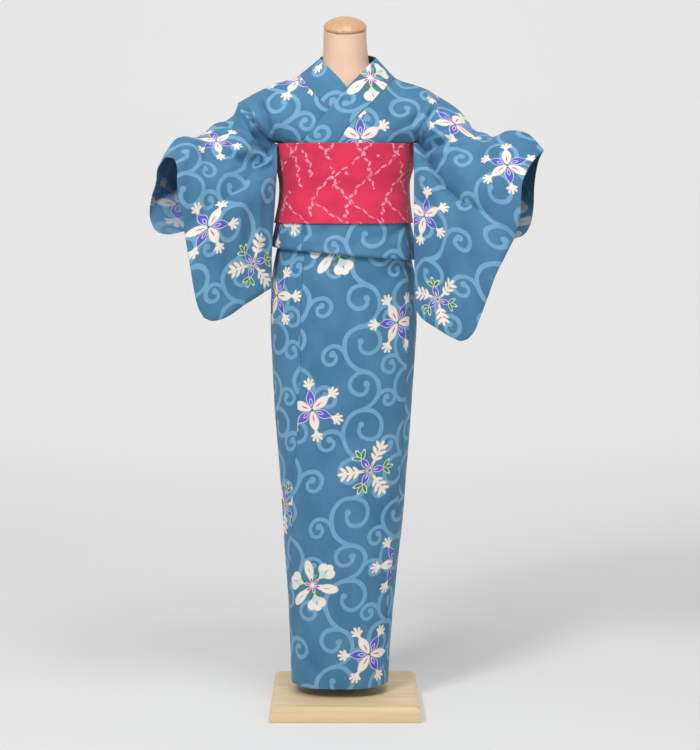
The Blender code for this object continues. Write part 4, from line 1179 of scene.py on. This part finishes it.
flowerLayers = {
    # six pointed petals, violet and white by turns, each with a fan of short leaves at its end
    "starFlower": [
        Layer("edge", "buds whitePetal", 0.014), Layer("white", "buds whitePetal"),
        Layer("white", "violetPetal", 0.016), Layer("violet", "violetPetal"), Layer("white", "loop"),
        Layer("violet", "loop", -0.018), Layer("red", "stripe"), Layer("green", "middle", 0.045),
    ],
    # three leafy white arms, and between them short violet petals with a green sprig
    "featherFlower": [
        Layer("edge", "feather", 0.013), Layer("white", "feather"), Layer("red", "veins", 0.0, 0.007),
        Layer("white", "sprig violetPetal", 0.018), Layer("green", "sprig"), Layer("violet", "violetPetal"),
        Layer("white", "stripe", 0.0, 0.007), Layer("green", "middle", 0.050),
    ],
    # three long white petals, and between them scalloped blossoms on pairs of green leaves
    "roundFlower": [
        Layer("edge", "longPetal blossom", 0.014), Layer("white", "longPetal blossom"),
        Layer("paleBlue", "shade", 0.0, 0.06), Layer("line", "crease", 0.0, 0.008), Layer("red", "stripe"),
        Layer("green", "leaves"), Layer("white", "spokes", 0.02), Layer("pink", "spokes"),
        Layer("white", "middle", 0.065),
    ],
}


def makeFlower(name):
    # painted over the cloth where it is shown, from its place folded on to six arms
    inputs = {"Even": "Vector", "Odd": "Vector", "Radius": "Float", "Shown": "Float", "Under": "Color"}
    tree, entry, leave = newGroup(name, inputs, {"Color": "Color"})
    distances = {"middle": entry["Radius"]}
    for shape, rows in flowerShapes[name].items():
        distances[shape] = nearestOf(tree, *[draw(tree, entry[arm], *sizes) for draw, arm, *sizes in rows])
    colour = entry["Under"]
    for layer in flowerLayers[name]:
        distance = nearestOf(tree, *[distances[shape] for shape in layer.shapes.split()])
        if layer.grown:
            distance = calc(tree, "SUBTRACT", distance, layer.grown)
        inked = fade(tree, distance, -layer.soft, layer.soft, 1.0, 0.0)
        colour = blendColour(tree, inked, colour, inks[layer.ink])
    tree.links.new(blendColour(tree, entry["Shown"], entry["Under"], colour), leave["Color"])
    return tree


cotton = {
    "ground": srgb(66, 116, 151), "groundPale": srgb(77, 129, 164), "vine": srgb(112, 162, 194),
    "insideGroundPaintedLighter": srgb(78, 124, 160), "insidePrint": 0.45, "yarn": 0.9, "threads": (0.93, 1.05),
    "rough": (0.92, 0.80), "bump": 0.10, "relief": 0.4 * mm, "patches": (0.018, 0.011, 0),
}


def clothPlace(tree):
    # where a point lies on the cloth, in mm
    place = put(tree, "ShaderNodeUVMap", uv_map="clothPlace").outputs[0]
    return vec(tree, "MULTIPLY", place, (1000, 1000, 0))


def makeCotton(name, inside, vineScroll, arms, flowers, weave):
    material, tree, shader = newMaterial(name)
    place = clothPlace(tree)
    uneven = noise(tree, vec(tree, "MULTIPLY", place, cotton["patches"]), 1.0, 4.0)
    colour = blendColour(tree, fade(tree, uneven, 0.3, 0.7), cotton["ground"], cotton["groundPale"])
    distance = use(tree, vineScroll, Place=place)["Distance"]
    soaked = calc(tree, "SUBTRACT", distance, vine["soakedBy"] / 2)
    soaked = calc(tree, "MULTIPLY_ADD", noise(tree, place, 0.6), vine["soakedBy"], soaked)
    printedShare = fade(tree, soaked, -vine["soft"], vine["soft"], 1.0, 0.0)
    colour = blendColour(tree, printedShare, colour, cotton["vine"])
    bloomPlace = put(tree, "ShaderNodeUVMap", uv_map="bloomPlace").outputs[0]
    kind = put(tree, "ShaderNodeAttribute", attribute_name="bloomKind").outputs["Fac"]
    for number, flower in flowers.items():
        # the faint link to the colour so far makes the flowers run one after another
        folded = use(tree, arms, Place=vec(tree, "MULTIPLY_ADD", colour, (1e-6, 1e-6, 0), bloomPlace))
        shown = calc(tree, "COMPARE", kind, float(number), 0.4)
        colour = use(
            tree, flower, Even=folded["Even"], Odd=folded["Odd"], Radius=folded["Radius"], Shown=shown,
            Under=colour)["Color"]
    height = use(tree, weave, Place=place, Pitch=cotton["yarn"])["Height"]
    colour = scaled(tree, colour, fade(tree, height, 0.0, 1.0, *cotton["threads"]))
    # the inside shows the print fainter, as the cloth's back does, over a ground painted lighter to offset
    # the shade inside the sleeves and folds
    if inside:
        colour = blendColour(tree, cotton["insidePrint"], cotton["insideGroundPaintedLighter"], colour)
    feed(tree, shader, {
        "Base Color": colour, "Roughness": fade(tree, height, 0.0, 1.0, *cotton["rough"]),
        "Normal": bump(tree, height, cotton["bump"], cotton["relief"]),
        "Sheen Weight": 0.12, "Sheen Roughness": 0.5, "Specular IOR Level": 0.25})
    return material


# The belt's pattern: rows of small leaves along both diagonals, in mm and degrees.
beltPrint = {
    "ground": srgb(222, 46, 82), "groundDark": srgb(204, 38, 74), "leaf": srgb(246, 150, 178),
    "slope": 52.0, "spacing": 57.0, "pitch": 12.4, "halfLength": 6.0, "halfWidth": 2.6, "lean": 0.30,
    "apart": 1.3, "soft": 0.35, "yarn": 1.1, "threads": (0.92, 1.06), "rough": (0.78, 0.62), "bump": 0.14,
    "relief": 0.4 * mm,
}
LeafRow = namedtuple("LeafRow", "side shift along fill")
leafRows = [
    LeafRow(1, 0, 0, 0.6), LeafRow(-1, 0, 3, 0.58), LeafRow(1, 22, 6, 0.38), LeafRow(-1, 38, 2, 0.38),
]


def makeLeafRowGroup():
    inputs = {"Place": "Vector", "Turned": "Vector", "Shift": "Float", "Along": "Float", "Fill": "Float"}
    tree, entry, leave = newGroup("leafRow", inputs, {"Mask": "Float"})
    turned = put(tree, "ShaderNodeMapping", {0: entry["Place"], 2: entry["Turned"]}).outputs[0]
    parts = axes(tree, turned)
    spacing, pitch = beltPrint["spacing"], beltPrint["pitch"]
    y = calc(tree, "WRAP", calc(tree, "SUBTRACT", parts[1], entry["Shift"]), spacing / 2, -spacing / 2)
    step = calc(tree, "DIVIDE", calc(tree, "ADD", parts[0], entry["Along"]), pitch)
    number = calc(tree, "FLOOR", step)
    side = calc(tree, "MULTIPLY_ADD", calc(tree, "PINGPONG", number, 1.0), 2.0, -1.0)
    x = calc(tree, "MULTIPLY", calc(tree, "SUBTRACT", calc(tree, "SUBTRACT", step, number), 0.5), pitch)
    y = calc(tree, "SUBTRACT", y, calc(tree, "MULTIPLY", side, beltPrint["apart"]))
    y = calc(tree, "SUBTRACT", y, calc(tree, "MULTIPLY", calc(tree, "MULTIPLY", x, beltPrint["lean"]), side))
    share = calc(tree, "DIVIDE", x, beltPrint["halfLength"])
    half = calc(tree, "SUBTRACT", 1.0, calc(tree, "MULTIPLY", share, share))
    half = calc(tree, "MULTIPLY", half, beltPrint["halfWidth"])
    distance = calc(tree, "SUBTRACT", calc(tree, "ABSOLUTE", y), half)
    leaf = fade(tree, distance, -beltPrint["soft"], beltPrint["soft"], 1.0, 0.0)
    patchy = noise(tree, vec(tree, "ADD", turned, (7.0, 7.0, 0)), 0.022, 1.0)
    kept = calc(tree, "LESS_THAN", patchy, entry["Fill"])
    worn = fade(tree, noise(tree, entry["Place"], 0.03, 2.0), 0.30, 0.58, 0.35, 1.0)
    shown = calc(tree, "MULTIPLY", calc(tree, "MULTIPLY", leaf, kept), worn)
    tree.links.new(shown, leave["Mask"])
    return tree


def makeBeltCloth(weave):
    material, tree, shader = newMaterial("beltCloth")
    place = clothPlace(tree)
    uneven = noise(tree, vec(tree, "MULTIPLY", place, (0.02, 0.03, 0)), 1.0, 3.0)
    colour = blendColour(tree, fade(tree, uneven, 0.35, 0.65), beltPrint["groundDark"], beltPrint["ground"])
    group = makeLeafRowGroup()
    mask = 0.0
    for row in leafRows:
        turned = (0, 0, -row.side * math.radians(beltPrint["slope"]))
        shown = use(
            tree, group, Place=place, Turned=turned, Shift=row.shift, Along=row.along, Fill=row.fill)
        mask = calc(tree, "MAXIMUM", mask, shown["Mask"])
    colour = blendColour(tree, mask, colour, beltPrint["leaf"])
    height = use(tree, weave, Place=place, Pitch=beltPrint["yarn"])["Height"]
    feed(tree, shader, {
        "Base Color": scaled(tree, colour, fade(tree, height, 0.0, 1.0, *beltPrint["threads"])),
        "Roughness": fade(tree, height, 0.0, 1.0, *beltPrint["rough"]),
        "Normal": bump(tree, height, beltPrint["bump"], beltPrint["relief"]),
        "Sheen Weight": 0.2, "Specular IOR Level": 0.3})
    return material


jersey = {
    "dark": srgb(216, 180, 155), "pale": srgb(222, 188, 163), "patches": 9.0, "knit": 1500.0,
    "stretch": (1, 1, 0.45), "rough": (0.62, 0.74), "bump": 0.12, "relief": 0.3 * mm,
}


def makeSkin():
    # the form's jersey cover: very fine knit over a smooth shell
    material, tree, shader = newMaterial("formJersey")
    place = objectPlace(tree)
    soft = noise(tree, place, jersey["patches"], 3.0)
    knit = noise(tree, vec(tree, "MULTIPLY", place, jersey["stretch"]), jersey["knit"], 2.0)
    feed(tree, shader, {
        "Base Color": blendColour(tree, fade(tree, soft, 0.3, 0.7), jersey["dark"], jersey["pale"]),
        "Roughness": fade(tree, knit, 0.3, 0.7, *jersey["rough"]),
        "Normal": bump(tree, knit, jersey["bump"], jersey["relief"]),
        "Sheen Weight": 0.15, "Specular IOR Level": 0.3})
    return material


def makeGrainGroup():
    # long wood grain along X, from a place in metres
    inputs, outputs = {"Place": "Vector", "Stretch": "Vector"}, {"Grain": "Float", "Pore": "Float"}
    tree, entry, leave = newGroup("woodGrain", inputs, outputs)
    long = vec(tree, "MULTIPLY", entry["Place"], entry["Stretch"])
    bend = vec(tree, "MULTIPLY", noise(tree, long, 0.6, 2.0, 1), (0.0, 1.4, 1.4))
    tree.links.new(noise(tree, vec(tree, "ADD", long, bend), 1.0, 5.0), leave["Grain"])
    tree.links.new(noise(tree, vec(tree, "MULTIPLY", long, (1, 9, 9)), 1.0, 2.0), leave["Pore"])
    return tree


Wood = namedtuple("Wood", "pale dark stretch coat rough")
woods = {
    "plateWood": Wood(srgb(232, 206, 166), srgb(222, 194, 152), (4, 70, 90), 0.08, 0.58),
    "capWood": Wood(srgb(209, 166, 125), srgb(199, 154, 112), (260, 26, 260), 0.3, 0.38),
}


def makeWood(name, grain):
    wood = woods[name]
    material, tree, shader = newMaterial(name)
    shown = use(tree, grain, Place=objectPlace(tree), Stretch=wood.stretch)
    colour = blendColour(tree, fade(tree, shown["Grain"], 0.32, 0.68), wood.dark, wood.pale)
    lines = fade(tree, shown["Pore"], 0.36, 0.5, 0.93, 1.0)
    feed(tree, shader, {
        "Base Color": scaled(tree, colour, lines),
        "Roughness": fade(tree, shown["Grain"], 0.3, 0.7, wood.rough + 0.05, wood.rough - 0.05),
        "Normal": bump(tree, lines, 0.08, 0.3 * mm), "Coat Weight": wood.coat, "Coat Roughness": 0.12})
    return material


def makeSteel():
    material, tree, shader = newMaterial("satinSteel")
    brushed = noise(tree, vec(tree, "MULTIPLY", objectPlace(tree), (900, 900, 12)), 1.0, 3.0)
    feed(tree, shader, {
        "Base Color": blendColour(tree, brushed, (0.50, 0.50, 0.50, 1), (0.62, 0.62, 0.62, 1)),
        "Roughness": fade(tree, brushed, 0.3, 0.7, 0.26, 0.40), "Metallic": 1.0})
    return material


weave = weaveGroup()
arms = makeArmsGroup()
vineScroll = makeVineGroup()
flowers = {number: makeFlower(name) for number, name in enumerate(flowerShapes, 1)}
printed = [
    makeCotton("yukataCotton" + end, bool(end), vineScroll, arms, flowers, weave) for end in ("", "Inside")]
beltCloth = makeBeltCloth(weave)
skin, grain, steel = makeSkin(), makeGrainGroup(), makeSteel()
plateWood, capWood = (makeWood(name, grain) for name in woods)
print("materials made")

bodyBlooms = {
    "left": [
        Bloom(3, -20, 940, 115, "front skirt", 1.0, (-20, 900)), Bloom(1, 104, 794, 60, "front skirt"),
        Bloom(1, -65, 621, 101, "front skirt"), Bloom(2, 49, 500, 65, "front skirt"),
        Bloom(1, 104, 303, 0, "front skirt"), Bloom(3, -65, 263, 107, "front skirt"),
        Bloom(1, 49, 120, 60, "front skirt"), Bloom(1, 30, 1155, 90, "front top"),
        Bloom(1, 217, 1184, 2, "front top", 0.8, (170, 1200)),
        Bloom(3, 60, 1180, 40, "back top"), Bloom(1, 60, 860, 20, "back skirt"),
        Bloom(2, 40, 640, 80, "back skirt"), Bloom(3, 80, 430, 50, "back skirt"),
        Bloom(1, 36, 230, 95, "back skirt"),
    ],
    "right": [
        Bloom(1, -93, 1272, 75, "front top"), Bloom(1, -70, 1170, 30, "back top"),
        Bloom(2, -172, 1232, 10, "back top", 0.85), Bloom(3, -60, 790, 15, "back skirt"),
        Bloom(1, -80, 560, 70, "back skirt"), Bloom(2, -50, 350, 30, "back skirt"),
        Bloom(1, -36, 148, 100, "back skirt"), Bloom(2, -90, 700, 40, "front skirt"),
        Bloom(1, -90, 300, 10, "front skirt"),
    ],
}
overlapBlooms = {
    "left": [Bloom(1, -134, 846, 60, "front skirt"), Bloom(1, -124, 1002, 30, "front top"),
             Bloom(2, -120, 420, 20, "front skirt"), Bloom(1, -100, 130, 80, "front skirt")],
    "right": [Bloom(1, 90, 600, 20, "front skirt")],
}
collarBlooms = [Bloom(3, 49, 1274, 90, "front"), Bloom(1, -36, 1352, 4, "front", 1.0, (-35, 1258))]
sleeveBlooms = {
    "left": [
        Bloom(1, 313, 1103, 34, "front", 0.95), Bloom(1, 156, 1004, 78, "front", 0.9),
        Bloom(2, 182, 842, 40, "front", 0.84), Bloom(1, 217, 1184, 2, "front", 0.8),
        Bloom(1, 198, 1005, 50, "back", 0.85), Bloom(3, 300, 985, 15, "back", 0.9),
        Bloom(2, 215, 866, 90, "back", 0.84),
    ],
    "right": [
        Bloom(1, -264, 984, 5, "front", 0.9), Bloom(1, -252, 1150, 100, "front", 0.8),
        Bloom(2, -181, 911, 77, "front", 0.92), Bloom(1, -330, 1028, 20, "back", 0.85),
        Bloom(3, -215, 1005, 60, "back", 0.85), Bloom(1, -240, 895, 40, "back", 0.85),
    ],
}

# where each piece's cloth was cut from the printed length, in metres
printShift = {
    "body": {"left": (0.02, 0.0), "right": (0.11, 0.07)}, "overlap": (0.17, 0.05),
    "sleeve": {"left": (0.05, 0.12), "right": (0.14, 0.03)}, "collar": (0.03, 0.02),
}


def addPiece(key, name, panel, wall, materials, nodes, slot="yukata_cotton", **settings):
    makeCloth(name, panel, wall, materials, **settings)
    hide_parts(*nodes)


def bandPanel(points):
    return panelOf(points, clothLengths(points), ["front"] * (len(points) - 1))


for side in ("left", "right"):
    addPiece(
        "robe_" + side, "robe_" + side, panelOf(*bodyGrid(side)), cloth["wall"], printed,
        [f"body_{side}_{part}" for part in ("back_skirt", "back_top", "front_skirt", "front_top")],
        blooms=bodyBlooms[side], shift=printShift["body"][side])
    addPiece(
        "overlap_" + side, "robe_overlap_" + side, panelOf(*overlapGrid(side)), cloth["wall"], printed,
        ["overlap_" + side], blooms=overlapBlooms[side], shift=printShift["overlap"])
    addPiece(
        "sleeve_" + side, "robe_sleeve_" + side, sleevePocket(side), cloth["wall"], printed,
        [f"sleeve_{side}_{part}" for part in ("back_tube", "back_bag", "front_tube", "front_bag")],
        blooms=sleeveBlooms[side], shift=printShift["sleeve"][side])
addPiece(
    "collar", "robe_collar", bandPanel(collarGrid()), cloth["collar"], printed[:1], ["collar"],
    blooms=collarBlooms, shift=printShift["collar"], rounded=cloth["collarRound"])
addPiece(
    "belt", "robe_belt", bandPanel(beltGrid()), cloth["belt"], [beltCloth], ["belt"], "belt_cloth",
    rounded=cloth["beltRound"])
print("cloth made")

# The record of what a piece was cut to, in metres: width, length and the cut's area where it isn't their
# product. No piece is given one here.
Cut = namedtuple("Cut", "width length area held restsOn")


# The form's torso, neck cap and plate: the solids' own shapes, smoothed and with eased edges.
def copyOf(node, name, material, merge=0.02 * mm, flat=math.radians(60)):
    piece = bpy.data.objects[node].copy()
    piece.data = piece.data.copy()
    piece.name = piece.data.name = name
    for key in list(piece.keys()):
        del piece[key]
    bpy.context.scene.collection.objects.link(piece)
    piece.hide_render = piece.hide_viewport = False
    piece.data.materials.clear()
    piece.data.materials.append(material)
    setActive(piece)
    bpy.ops.object.mode_set(mode="EDIT")
    bpy.ops.mesh.select_all(action="SELECT")
    bpy.ops.mesh.remove_doubles(threshold=merge)
    bpy.ops.mesh.tris_convert_to_quads(face_threshold=flat, shape_threshold=flat)
    bpy.ops.object.mode_set(mode="OBJECT")
    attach(piece, "root")
    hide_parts(node)
    return piece


form = {
    "levels": 2, "plateEdge": 1.2 * mm, "capEdge": 1.0 * mm,
    "slimFrom": 1210 * mm, "slimOver": 40 * mm, "slimBy": 7 * mm,
}
torso = copyOf("form_torso", "form_body", skin)
applyModifier(torso, "SUBSURF", levels=form["levels"], render_levels=form["levels"])
normals = [vertex.normal.copy() for vertex in torso.data.vertices]
for vertex, normal in zip(torso.data.vertices, normals):
    # a little slimmer under the robe, so that its creases stay clear
    slim = float(ease((form["slimFrom"] - vertex.co.z) / form["slimOver"]))
    vertex.co -= normal * form["slimBy"] * slim
torso.data.shade_smooth()
plate = copyOf("base_plate", "form_plate", plateWood)
bevel(plate, form["plateEdge"], 3, 25)
plate.data.shade_smooth()
plate.data.set_sharp_from_angle(angle=math.radians(35))
cap = copyOf("neck_cap", "form_cap", capWood)
bevel(cap, form["capEdge"], 2, 40)
applyModifier(cap, "SUBSURF", levels=form["levels"], render_levels=form["levels"])
cap.data.shade_smooth()
pole = bpy.data.objects["pole"]
pole.data.materials.clear()
pole.data.materials.append(steel)
print("form made")

# floor, light and camera
stage = {
    "size": 16.0, "back": 6.0, "high": 6.0, "curve": 1.6, "sunk": 0.5 * mm, "colour": srgb(232, 232, 232),
    "rough": 0.9, "glowFrom": 0.8, "glowTo": 7.0, "glow": 0.24,
}


def makeStage():
    material, tree, shader = newMaterial("paperBackdrop")
    # the far end glows a little, so that it stays as pale as the floor near the lamps
    far = axes(tree, objectPlace(tree))[1]
    feed(tree, shader, {
        "Emission Color": fade(tree, far, stage["glowFrom"], stage["glowTo"], 0.0, stage["glow"]),
        "Emission Strength": 1.0, "Base Color": stage["colour"], "Roughness": stage["rough"],
        "Specular IOR Level": 0.1})
    bpy.ops.object.select_all(action="DESELECT")
    bpy.ops.mesh.primitive_plane_add(
        size=stage["size"], location=(0, stage["back"] - stage["size"] / 2, -stage["sunk"]))
    floor = bpy.context.active_object
    floor.name = "floor"
    bpy.ops.object.mode_set(mode="EDIT")
    bpy.ops.mesh.select_all(action="DESELECT")
    bpy.ops.mesh.select_mode(type="EDGE")
    bpy.ops.object.mode_set(mode="OBJECT")
    for edge in floor.data.edges:
        edge.select = all(floor.data.vertices[v].co.y > 0 for v in edge.vertices)
    bpy.ops.object.mode_set(mode="EDIT")
    bpy.ops.mesh.extrude_region_move(TRANSFORM_OT_translate={"value": (0, 0, stage["high"])})
    bpy.ops.object.mode_set(mode="OBJECT")
    bevel(floor, stage["curve"], 16, 30)
    floor.data.shade_smooth()
    floor.data.materials.append(material)


Light = namedtuple("Light", "place size power aim", defaults=((0, 0, 0.8),))
lights = {
    "key": Light((-1.5, -2.5, 3.1), 0.7, 62), "fill": Light((2.2, -2.6, 1.5), 2.4, 14),
    "top": Light((0.4, -1.5, 3.5), 1.2, 31), "backdropLight": Light((0.0, 3.4, 3.8), 3.0, 13, (0, 5, 0)),
}
air = {"colour": (1.0, 0.995, 0.985, 1), "strength": 0.43}
camera = {"lens": 90.24, "sensor": 36, "place": (0.0099, -3.8043, 1.05694), "pitch": 90 - 5.64296}


def makeLights():
    for name, light in lights.items():
        data = bpy.data.lights.new(name, "AREA")
        data.size, data.energy = light.size, light.power
        lamp = bpy.data.objects.new(name, data)
        lamp.location = light.place
        way = np.subtract(light.aim, light.place)
        lamp.rotation_euler = (
            math.atan2(math.hypot(way[0], way[1]), -way[2]), 0, math.atan2(way[1], way[0]) - math.pi / 2)
        bpy.context.scene.collection.objects.link(lamp)
    world = bpy.data.worlds.new("studioAir")
    world.use_nodes = True
    background = world.node_tree.nodes["Background"]
    feed(world.node_tree, background, {"Color": air["colour"], "Strength": air["strength"]})
    bpy.context.scene.world = world


def makeCamera():
    data = bpy.data.cameras.new("camera")
    data.lens, data.sensor_width, data.sensor_fit = camera["lens"], camera["sensor"], "AUTO"
    eye = bpy.data.objects.new("camera", data)
    eye.location = camera["place"]
    eye.rotation_euler = (math.radians(camera["pitch"]), 0, 0)
    bpy.context.scene.collection.objects.link(eye)
    bpy.context.scene.camera = eye


makeStage()
makeLights()
makeCamera()
bpy.context.scene.view_settings.view_transform = "Standard"
print("stage, lights and camera made")
